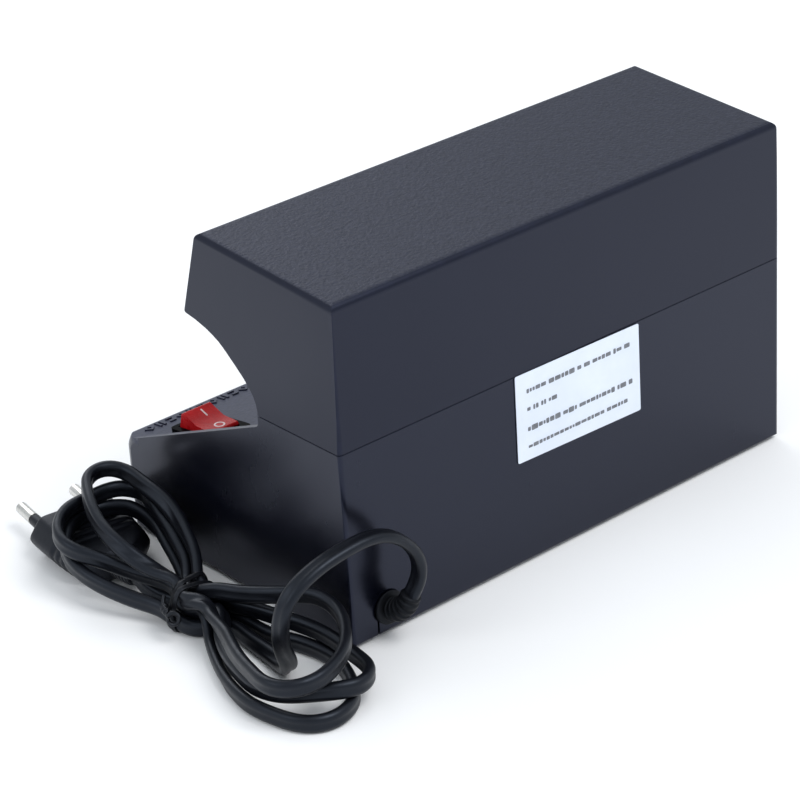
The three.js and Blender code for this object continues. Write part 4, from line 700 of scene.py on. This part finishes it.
# the knot: both ends wound round each other, then splayed
loop, out = bundle_outline(TIE_Y, 1.0)
k0 = int(np.argmax(loop[:, 0] + 0.25 * loop[:, 1]))
edge = loop[k0]
line = catmull(np.array([[edge[0] + 0.1, 6.4, 9.6], [edge[0] + 1.1, 7.4, 9.5], [edge[0] + 1.6, 8.7, 9.2], [edge[0] + 1.5, 10.1, 8.9]]), 14)
t, s, b = transport(line, (0, 0, 1))
CURL = np.array([edge[0] + 1.5, 12.3, 7.9])
CURL_A, CURL_B, CURL_N = np.array([-0.7533, 0.6552, -0.0567]), np.array([-0.3372, -0.3107, 0.8887]), np.array([0.5647, 0.6886, 0.455])
for q in (0, 1):
    ph = np.linspace(0, 2.3 * 2 * math.pi, len(line)) + q * math.pi
    twist = line + (np.cos(ph)[:, None] * s + np.sin(ph)[:, None] * b) * 0.62
    if q == 0:
        lead_in = np.array([[edge[0] - 0.9, 5.2, 11.9], [edge[0] - 0.1, 5.7, 10.9]])
        turn = np.radians([155, 115, 70, 25, -20, -65, -110, -155, -190])
        free = np.array([CURL + 1.75 * (1 - 0.02 * j) * (math.cos(a) * CURL_A + math.sin(a) * CURL_B) + CURL_N * 0.13 * j for j, a in enumerate(turn)])
    else:
        lead_in = np.array([[edge[0] - 0.2, 7.4, 5.6], [edge[0] + 0.25, 7.2, 7.4]])
        free = twist[-1] + np.array([[0.25, 0.8, -0.8], [0.2, 1.3, -2.0], [-0.1, 1.5, -3.1]])
    path = catmull(np.vstack([lead_in, twist[2::3], free]), 4)
    rr = np.full(len(path), 0.58)
    rr[-1], rr[-2] = 0.3, 0.5
    v, f = loft(tube(path, rr, (0, 0.2, 1), 12, oval=1.35))
    end = make("tie_end_%d" % (q + 1), v, f)
    finish_piece(end, "housing", TIE_MAT)

# ------------------------------------------------------------------ carried-over nodes: edges and shading
def soften(name, width, angle=32, segments=2, flat=0.012):
    """Rounds the sharp edges a little and evens out the shading. The node's own points stay as they are."""
    ob = NODES[name]
    me = ob.data
    for a in [a.name for a in me.attributes if a.name in ("custom_normal", "sharp_edge", "sharp_face")]:
        me.attributes.remove(me.attributes[a])
    for p in me.polygons:
        p.use_smooth = True
    w = ob.modifiers.new("weld", "WELD")
    w.merge_threshold = 0.000005
    d = ob.modifiers.new("planar", "DECIMATE")
    d.decimate_type = "DISSOLVE"
    d.angle_limit = flat
    # large faces with many corners are split again, or the renderer turns some of their triangles over
    q = ob.modifiers.new("split", "TRIANGULATE")
    q.ngon_method, q.min_vertices = "BEAUTY", 5
    if width:
        b = ob.modifiers.new("bevel", "BEVEL")
        b.width, b.segments, b.limit_method, b.angle_limit = width, segments, "ANGLE", math.radians(angle)
        b.use_clamp_overlap = True
        b.loop_slide = False
        b.miter_outer = "MITER_ARC"
    n = ob.modifiers.new("shading", "WEIGHTED_NORMAL")
    n.mode, n.weight, n.keep_sharp = "FACE_AREA", 50, False


for name, width in (("lower_shell", 0.00035), ("upper_shell", 0.0004), ("bottom_cover", 0.0003), ("switch_housing", 0.0003), ("switch_rocker", 0.0007)):
    soften(name, width)
for name in NODES:
    if name in ("lower_shell", "upper_shell", "bottom_cover", "switch_housing", "switch_rocker", "mains_lead", "cord_hank", "plug_lead", "twist_tie",
                "plug_body", "strain_relief", "rating_label"):
        continue
    soften(name, 0.0 if name.startswith("lead_") else 0.00012, 40, 1 if "screw" in name or "pin" in name else 2)


# ------------------------------------------------------------------ materials of the shells
def edge_mask(t, vec=None):
    """1 close to the outer edges of the housing, from the housing's own measures."""
    x = t.math("ABSOLUTE", t.axis(0))
    y, z = t.axis(1), t.axis(2)
    dx = t.math("SUBTRACT", 0.0899, x)
    dy = t.math("SUBTRACT", 0.0541, y)
    slope = t.math("MULTIPLY", t.math("SUBTRACT", 0.0541, y), 0.0676)
    dz = t.math("SUBTRACT", t.math("ADD", slope, 0.1096), z)
    pairs = [t.math("MAXIMUM", dx, dy), t.math("MAXIMUM", dx, dz), t.math("MAXIMUM", dy, dz)]
    near = t.math("MINIMUM", t.math("MINIMUM", pairs[0], pairs[1]), pairs[2])
    return t.remap(near, 0.0006, 0.0022, 1, 0, True)


def shell(name, side, top, rough_side, rough_top, grain_top, level):
    t = Tree(name)
    drift = t.noise(24, 4, 0.6)
    fine = t.noise(620, 3, 0.55)
    # faces that look up get the lighter top colour: painted light, the tops drawn as the lit side; the same mask also
    # gives them their gloss, grain and dust
    lift = t.remap(t.axis(2, t.normal()), 0.82, 0.96, 0, 1, True)
    # the raised marks along the desk's front also get most of the painted top light, and the desk's gloss and grain
    desk_front = t.math("MULTIPLY", t.remap(t.axis(2), 0.0308, 0.0320, 0, 1, True), t.remap(t.axis(1), -0.0455, -0.0445, 1, 0, True))
    lift = t.math("MAXIMUM", lift, t.math("MULTIPLY", desk_front, 0.75))
    sides = t.mix(t.remap(drift, 0.3, 0.7, 0, 1), shade(side, 0.93), shade(side, 1.07))
    # painted light: the top colour is a lit copy of the plastic
    painted_lit_tops = t.mix(t.remap(fine, 0.35, 0.68, 0, 1), shade(top, 0.72), shade(top, 1.28))
    colour = t.mix(lift, sides, painted_lit_tops)
    # wear: handling has polished and greyed the outer edges here and there
    worn = t.math("MULTIPLY", edge_mask(t), t.remap(t.noise(210, 5, 0.7), 0.42, 0.66, 0, 0.55))
    colour = t.mix(worn, colour, shade(side, 3.0))
    # a few pale dust specks lie on the upward faces
    speck = t.math("MULTIPLY", t.remap(t.voronoi(330), 0.0, 0.07, 1, 0, True), t.remap(t.noise(45, 2, 0.5), 0.52, 0.66, 0, 0.5))
    colour = t.mix(t.math("MULTIPLY", speck, lift), colour, (0.11, 0.115, 0.13))
    t.set("Base Color", colour)
    smear = t.noise(38, 5, 0.62, t.mapped((1.0, 1.0, 0.55)))
    sides_r = t.remap(smear, 0.3, 0.72, rough_side - 0.03, rough_side + 0.035)
    t.set("Roughness", t.math("ADD", t.math("MULTIPLY", sides_r, t.math("SUBTRACT", 1.0, lift)), t.math("MULTIPLY", lift, rough_top)))
    pebble = t.voronoi(950, feature="SMOOTH_F1")
    leather = t.math("ADD", t.math("MULTIPLY", pebble, 0.7), t.math("MULTIPLY", t.noise(1500, 2, 0.5), 0.6))
    satin = t.bump(t.noise(2600, 2, 0.5), 0.06, 0.00004)
    flow = t.bump(t.noise(14, 1, 0.4), 0.035, 0.0012, satin)
    t.set("Normal", t.bump(leather, t.math("MULTIPLY", lift, grain_top), 0.00022, flow))
    t.set("Specular IOR Level", level)
    t.set("Specular Tint", (0.60, 0.67, 1.0))
    return t.mat


# side and top colours: the much lighter top colour is painted light on the faces that look up
SHELL = shell("shell_plastic", (0.0016, 0.0019, 0.0046), (0.0215, 0.0235, 0.042), 0.25, 0.46, 0.35, 0.49)
HOOD = shell("hood_plastic", (0.0022, 0.0026, 0.0062), (0.0130, 0.0142, 0.0225), 0.31, 0.50, 0.8, 0.42)
COVER = plain("cover_plastic", (0.006, 0.0065, 0.009), 0.55, mottle=0.12, mottle_scale=40, grain=1300, grain_strength=0.35, grain_depth=0.00012)
RUBBER = plain("foot_rubber", (0.012, 0.012, 0.012), 0.82, mottle=0.2, mottle_scale=300, grain=1500, grain_strength=0.3)


def screw_material():
    t = Tree("screw_steel")
    t.set("Base Color", t.mix(t.remap(t.noise(420, 3, 0.6), 0.3, 0.7, 0, 1), (0.42, 0.42, 0.40), (0.58, 0.57, 0.55)))
    t.set("Metallic", 1.0)
    t.set("Roughness", t.remap(t.noise(900, 2, 0.5), 0.3, 0.7, 0.24, 0.42))
    t.set("Normal", t.bump(t.noise(2400, 2, 0.5), 0.15, 0.00006))
    return t.mat


SCREW = screw_material()
BLACK = plain("switch_black", (0.0015, 0.0015, 0.002), 0.34, mottle=0.12, mottle_scale=260, grain=2600, grain_strength=0.1, Specular_IOR_Level=0.15, IOR=1.12)


def rocker_material():
    t = Tree("switch_red")
    depth = t.noise(230, 2, 0.5)
    ribs = t.remap(t.wave(260, "Y"), 0, 1, 0, 1)
    inner = t.mix(t.remap(depth, 0.3, 0.7, 0, 1), (0.41, 0.006, 0.009), (0.54, 0.011, 0.014))
    t.set("Base Color", t.mix(t.math("MULTIPLY", ribs, 0.10), inner, (0.36, 0.006, 0.008)))
    t.set("Roughness", t.remap(t.noise(500, 3, 0.6), 0.3, 0.7, 0.22, 0.34))
    t.set("Normal", t.bump(t.noise(1900, 2, 0.5), 0.08, 0.00005))
    t.set("Subsurface Weight", 0.12)
    t.set("Subsurface Radius", (0.004, 0.0006, 0.0004))
    t.set("Subsurface Scale", 0.4)
    t.set("Specular IOR Level", 0.12)
    return t.mat


RED = rocker_material()
BRASS = plain("contact_brass", (0.6, 0.42, 0.17), 0.32, metal=1.0, mottle=0.12, mottle_scale=350, grain=2500)


def glass_tube():
    t = Tree("lamp_glass")
    x = t.math("ABSOLUTE", t.axis(0))
    ends = t.remap(x, 0.047, 0.0595, 0, 1, True)
    milk = t.mix(t.remap(t.noise(60, 3, 0.6), 0.3, 0.7, 0, 1), (0.80, 0.82, 0.90), (0.88, 0.89, 0.96))
    band = t.math("MULTIPLY", ends, t.remap(t.noise(35, 3, 0.6), 0.25, 0.7, 0.35, 0.9))
    t.set("Base Color", t.mix(band, milk, (0.34, 0.33, 0.36)))
    t.set("Roughness", t.remap(t.noise(300, 2, 0.5), 0.3, 0.7, 0.08, 0.16))
    t.set("Transmission Weight", 0.25)
    t.set("Coat Weight", 0.4)
    t.set("Coat Roughness", 0.04)
    t.set("IOR", 1.5)
    t.set("Normal", t.bump(t.noise(700, 2, 0.5), 0.03, 0.00005))
    return t.mat


GLASS = glass_tube()


def sheet_metal(name, lo, hi, rough, along="X"):
    t = Tree(name)
    scale = (25, 900, 900) if along == "X" else (900, 25, 900)
    rolled = t.noise(1.0, 3, 0.6, t.mapped(scale))
    t.set("Base Color", t.mix(t.remap(rolled, 0.3, 0.7, 0, 1), lo, hi))
    t.set("Metallic", 1.0)
    t.set("Roughness", t.remap(rolled, 0.25, 0.75, rough - 0.07, rough + 0.08))
    t.set("Normal", t.bump(rolled, 0.12, 0.00008))
    return t.mat


ALU = sheet_metal("reflector_aluminium", (0.70, 0.71, 0.72), (0.84, 0.85, 0.86), 0.24)
CAP = sheet_metal("cap_aluminium", (0.62, 0.63, 0.65), (0.78, 0.79, 0.80), 0.34, "Y")


def plating():
    t = Tree("pin_plating")
    t.set("Base Color", t.mix(t.remap(t.noise(500, 3, 0.6), 0.3, 0.7, 0, 1), (0.56, 0.55, 0.52), (0.72, 0.71, 0.68)))
    t.set("Metallic", 1.0)
    scratch = t.noise(1.0, 2, 0.5, t.mapped((1600, 120, 1600)))
    t.set("Roughness", t.remap(scratch, 0.3, 0.7, 0.2, 0.36))
    t.set("Normal", t.bump(scratch, 0.08, 0.00005))
    return t.mat


PIN = plating()
HOLDER = plain("holder_plastic", (0.78, 0.77, 0.72), 0.45, mottle=0.05, mottle_scale=120, grain=1700, grain_strength=0.12)


def laminate():
    t = Tree("board_laminate")
    fibre = t.noise(1.0, 4, 0.6, t.mapped((260, 40, 260)))
    face = t.mix(t.remap(fibre, 0.3, 0.7, 0, 1), (0.24, 0.145, 0.055), (0.34, 0.22, 0.095))
    cell = t.voronoi(120, feature="DISTANCE_TO_EDGE")
    track = t.remap(cell, 0.05, 0.07, 1, 0, True)
    under = t.remap(t.axis(2, t.normal()), -0.9, -0.6, 1, 0, True)
    t.set("Base Color", t.mix(t.math("MULTIPLY", track, under), face, (0.42, 0.25, 0.10)))
    t.set("Roughness", t.remap(fibre, 0.3, 0.7, 0.42, 0.6))
    t.set("Normal", t.bump(fibre, 0.2, 0.0001))
    return t.mat


BOARD = laminate()
FERRITE = plain("ferrite", (0.035, 0.035, 0.038), 0.7, mottle=0.25, mottle_scale=500, grain=1400, grain_strength=0.5, grain_depth=0.0001)


def winding():
    t = Tree("copper_winding")
    # the colour follows the turns' height: painted shade, darker in the grooves between turns, and a painted highlight,
    # lighter on their crowns
    turns = t.wave(330, "Z", 0.15, 1)
    t.set("Base Color", t.mix(turns, (0.28, 0.09, 0.03), (0.68, 0.30, 0.12)))
    t.set("Metallic", 0.9)
    t.set("Roughness", t.remap(turns, 0, 1, 0.5, 0.28))
    t.set("Normal", t.bump(turns, 0.6, 0.0003))
    return t.mat


COPPER = winding()


def sleeve_material():
    t = Tree("capacitor_sleeve")
    stripe = t.remap(t.axis(0), 0.0195, 0.0197, 0, 1, True)
    body = t.mix(t.remap(t.noise(300, 3, 0.6), 0.3, 0.7, 0, 1), (0.014, 0.022, 0.06), (0.022, 0.034, 0.09))
    top = t.remap(t.axis(2, t.normal()), 0.8, 0.95, 0, 1, True)
    colour = t.mix(t.math("MULTIPLY", stripe, 0.8), body, (0.45, 0.47, 0.5))
    t.set("Base Color", t.mix(top, colour, (0.5, 0.5, 0.5)))
    t.set("Roughness", t.remap(t.noise(600, 2, 0.5), 0.3, 0.7, 0.26, 0.4))
    t.set("Normal", t.bump(t.noise(1200, 2, 0.5), 0.08, 0.00006))
    return t.mat


SLEEVE = sleeve_material()
FILM = plain("film_capacitor", (0.33, 0.06, 0.025), 0.3, mottle=0.15, mottle_scale=180, grain=900, grain_strength=0.2, Coat_Weight=0.4)
EPOXY = plain("transistor_epoxy", (0.014, 0.014, 0.015), 0.6, mottle=0.15, mottle_scale=400, grain=1500, grain_strength=0.4)


def fuse():
    t = Tree("fuse_glass")
    y = t.axis(0)
    capped = t.math("MAXIMUM", t.remap(y, 0.0278, 0.028, 1, 0, True), t.remap(y, 0.031, 0.0312, 0, 1, True))
    t.set("Base Color", t.mix(capped, (0.78, 0.82, 0.82), (0.62, 0.62, 0.6)))
    t.set("Metallic", capped)
    t.set("Roughness", t.remap(t.noise(700, 2, 0.5), 0.3, 0.7, 0.06, 0.2))
    t.set("Transmission Weight", t.math("SUBTRACT", 0.6, t.math("MULTIPLY", capped, 0.6)))
    t.set("Normal", t.bump(t.noise(900, 2, 0.5), 0.04, 0.00005))
    return t.mat


FUSE = fuse()
TERMINAL = plain("terminal_plastic", (0.035, 0.24, 0.09), 0.42, mottle=0.1, mottle_scale=200, grain=1500)


def paper():
    t = Tree("label_paper")
    fibre = t.noise(900, 4, 0.6)
    tint = t.noise(55, 3, 0.6)
    base = t.mix(t.remap(tint, 0.3, 0.7, 0, 1), (0.70, 0.76, 0.88), (0.77, 0.83, 0.94))
    t.set("Base Color", t.mix(t.math("MULTIPLY", t.remap(fibre, 0.35, 0.65, 0, 1), 0.08), base, (0.66, 0.70, 0.78)))
    t.set("Roughness", t.remap(fibre, 0.3, 0.7, 0.5, 0.64))
    t.set("Normal", t.bump(fibre, 0.18, 0.00006))
    return t.mat


PAPER = paper()
BROWN = plain("wire_brown", (0.16, 0.055, 0.022), 0.45, mottle=0.1, mottle_scale=300)
BLUE = plain("wire_blue", (0.02, 0.09, 0.33), 0.45, mottle=0.1, mottle_scale=300)
WHITE = plain("wire_white", (0.72, 0.71, 0.67), 0.48, mottle=0.06, mottle_scale=300)

BY_SLOT = {
    "shell_plastic": SHELL, "hood_plastic": HOOD, "cover_plastic": COVER, "foot_rubber": RUBBER, "screw_steel": SCREW,
    "switch_black": BLACK, "switch_red": RED, "contact_brass": BRASS, "lamp_glass": GLASS, "cap_aluminium": CAP,
    "pin_plating": PIN, "holder_plastic": HOLDER, "reflector_aluminium": ALU, "board_laminate": BOARD, "ferrite": FERRITE,
    "copper_winding": COPPER, "capacitor_sleeve": SLEEVE, "film_capacitor": FILM, "transistor_epoxy": EPOXY,
    "fuse_glass": FUSE, "terminal_plastic": TERMINAL, "relief_rubber": RELIEF_MAT, "label_paper": PAPER,
    "wire_brown": BROWN, "wire_blue": BLUE, "wire_white": WHITE, "cord_sheath": CORD, "tie_plastic": TIE_MAT,
    "plug_plastic": PLUG_MAT,
}
slots = {}
for part in frame["record"]["subparts"]:
    slots[part["node"]] = part["material_slot"]
for name, ob in NODES.items():
    ob.data.materials.clear()
    ob.data.materials.append(BY_SLOT[slots[name]])


# ------------------------------------------------------------------ label print: plain grey bars, no lettering
def slab(name, corners, thick, normal):
    """A thin closed plate from a loop of points, standing on a surface."""
    P = np.asarray(corners, float)
    n = np.asarray(normal, float)
    k = len(P)
    verts = list(map(tuple, P)) + list(map(tuple, P + n * thick))
    faces = [tuple(range(k))[::-1], tuple(range(k, 2 * k))]
    faces += [(i, (i + 1) % k, k + (i + 1) % k, k + i) for i in range(k)]
    return make(name, verts, faces, False)


INK = plain("label_ink", (0.15, 0.16, 0.18), 0.6, mottle=0.3, mottle_scale=700, grain=1200, grain_strength=0.1)
label_lo, label_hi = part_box("rating_label")
LY = label_hi.y / MM + 0.02
LX0, LX1 = label_hi.x / MM, label_lo.x / MM          # as the eye reads it from behind: left is +X
LZ0, LZ1 = label_lo.z / MM, label_hi.z / MM
rng = np.random.default_rng(11)
for row, (v0, size, x0, x1) in enumerate(((0.205, 2.5, 0.085, 0.93), (0.405, 2.5, 0.085, 0.335), (0.625, 2.6, 0.085, 0.935), (0.82, 1.9, 0.085, 0.93))):
    verts, faces = [], []
    width = LX0 - LX1
    x = LX0 - x0 * width
    end = LX0 - x1 * width
    zc = LZ1 - v0 * (LZ1 - LZ0)
    while x > end + 1.0:
        w = min(float(rng.uniform(0.7, 2.6)), x - end)
        h = size * float(rng.uniform(0.2, 0.34))
        n0 = len(verts)
        r = h * 0.5
        prof = [(x, zc - h + r), (x - 0.3 * r, zc - h), (x - w + 0.3 * r, zc - h), (x - w, zc - h + r), (x - w, zc + h - r), (x - w + 0.3 * r, zc + h), (x - 0.3 * r, zc + h), (x, zc + h - r)]
        verts += [(a, LY, c) for a, c in prof] + [(a, LY + 0.05, c) for a, c in prof]
        k = len(prof)
        faces += [tuple(n0 + i for i in range(k))[::-1], tuple(n0 + k + i for i in range(k))]
        faces += [(n0 + i, n0 + (i + 1) % k, n0 + k + (i + 1) % k, n0 + k + i) for i in range(k)]
        x -= w + (1.15 if rng.uniform() < 0.2 else 0.36)
    bars = make("label_print_%d" % (row + 1), verts, faces, False)
    finish_piece(bars, "housing", INK)

# ------------------------------------------------------------------ marks on the rocker: a stroke and a ring
DESK = math.radians(8.5)
TILT = math.radians(16)


def on_rocker(x, s, n):
    """Rocker's own (across, along, out) in mm to the row frame."""
    y, z = s * math.cos(TILT) + n * math.sin(TILT), -s * math.sin(TILT) + n * math.cos(TILT)
    X, S, Q = x + 73.3, y + 24.6, z - 0.3
    return (X, -54.5 + S * math.cos(DESK) - Q * math.sin(DESK), 31.6 + S * math.sin(DESK) + Q * math.cos(DESK))


SLOPE = math.atan2(1.3, 6.9)


def on_half(sign, x, a, h):
    """A point on a half's face: x across, a from its middle towards its end, h above it."""
    s = sign * (3.45 + a) * 1.0
    n = 4.2 + (3.45 + a) * math.tan(SLOPE)
    return on_rocker(x, s - sign * math.sin(SLOPE) * h, n + math.cos(SLOPE) * h)


PRINT = plain("rocker_print", (0.80, 0.62, 0.62), 0.45, mottle=0.08, mottle_scale=900, grain=2000, grain_strength=0.08)
verts, faces = [], []
pts = []
for k in range(8):
    a = math.pi * k / 7
    pts.append((-0.7 + 0.27 * math.cos(a), 1.92 + 0.27 * math.sin(a)))
for k in range(8):
    a = math.pi + math.pi * k / 7
    pts.append((-0.7 + 0.27 * math.cos(a), -0.92 + 0.27 * math.sin(a)))
low = [on_half(-1, x, a, 0.0) for x, a in pts]
high = [on_half(-1, x, a, 0.07) for x, a in pts]
k = len(pts)
faces = [tuple(range(k)), tuple(range(k, 2 * k))] + [(i, (i + 1) % k, k + (i + 1) % k, k + i) for i in range(k)]
stroke = make("rocker_stroke_mark", low + high, faces, False)
finish_piece(stroke, "rocker", PRINT)
rings = []
for k in range(40):
    a = 2 * math.pi * k / 40
    row = []
    for r, h in ((1.2, 0.0), (1.2, 0.07), (1.74, 0.07), (1.74, 0.0)):
        row.append(on_half(1, -0.15 + r * math.cos(a), 0.95 + r * math.sin(a), h))
    rings.append(row)
v, f = loft(rings, closed=True)
ring = make("rocker_ring_mark", v, f, False)
finish_piece(ring, "rocker", PRINT)

# ------------------------------------------------------------------ floor, light
floor_mesh = bpy.data.meshes.new("floor")
S = 3.0
floor_mesh.from_pydata([(-S, -S, 0), (S, -S, 0), (S, S, 0), (-S, S, 0)], [], [(0, 1, 2, 3)])
floor = bpy.data.objects.new("floor", floor_mesh)
bpy.context.scene.collection.objects.link(floor)
t = Tree("floor_paper")
t.set("Base Color", t.mix(t.remap(t.noise(3, 2, 0.5), 0.3, 0.7, 0, 1), (0.965, 0.965, 0.97), (0.98, 0.98, 0.985)))
t.set("Roughness", 0.9)
t.set("Specular IOR Level", 0.2)
floor.data.materials.append(t.mat)

world = bpy.data.worlds.new("studio")
bpy.context.scene.world = world
world.use_nodes = True
world.node_tree.nodes["Background"].inputs[0].default_value = (0.90, 0.95, 1.0, 1)
world.node_tree.nodes["Background"].inputs[1].default_value = 0.75


def area(name, at, target, size, power, colour=(1, 1, 1)):
    d = bpy.data.lights.new(name, "AREA")
    d.shape, d.size, d.size_y = "RECTANGLE", size[0], size[1]
    d.energy, d.color = power, colour
    o = bpy.data.objects.new(name, d)
    bpy.context.scene.collection.objects.link(o)
    o.location = at
    o.rotation_euler = (Vector(target) - Vector(at)).to_track_quat("-Z", "Y").to_euler()
    return o


area("key", (-0.15, 0.75, 1.15), (0, 0, 0.05), (0.7, 0.7), 9)
area("side", (1.2, -0.25, 0.8), (0.05, 0, 0.05), (0.8, 0.8), 2.8, (0.96, 0.98, 1.0))
area("front", (-0.3, -1.1, 0.9), (0, 0, 0.05), (0.9, 0.6), 4)
bpy.context.scene.view_settings.view_transform = "Standard"

# ------------------------------------------------------------------ update
bpy.context.view_layer.update()
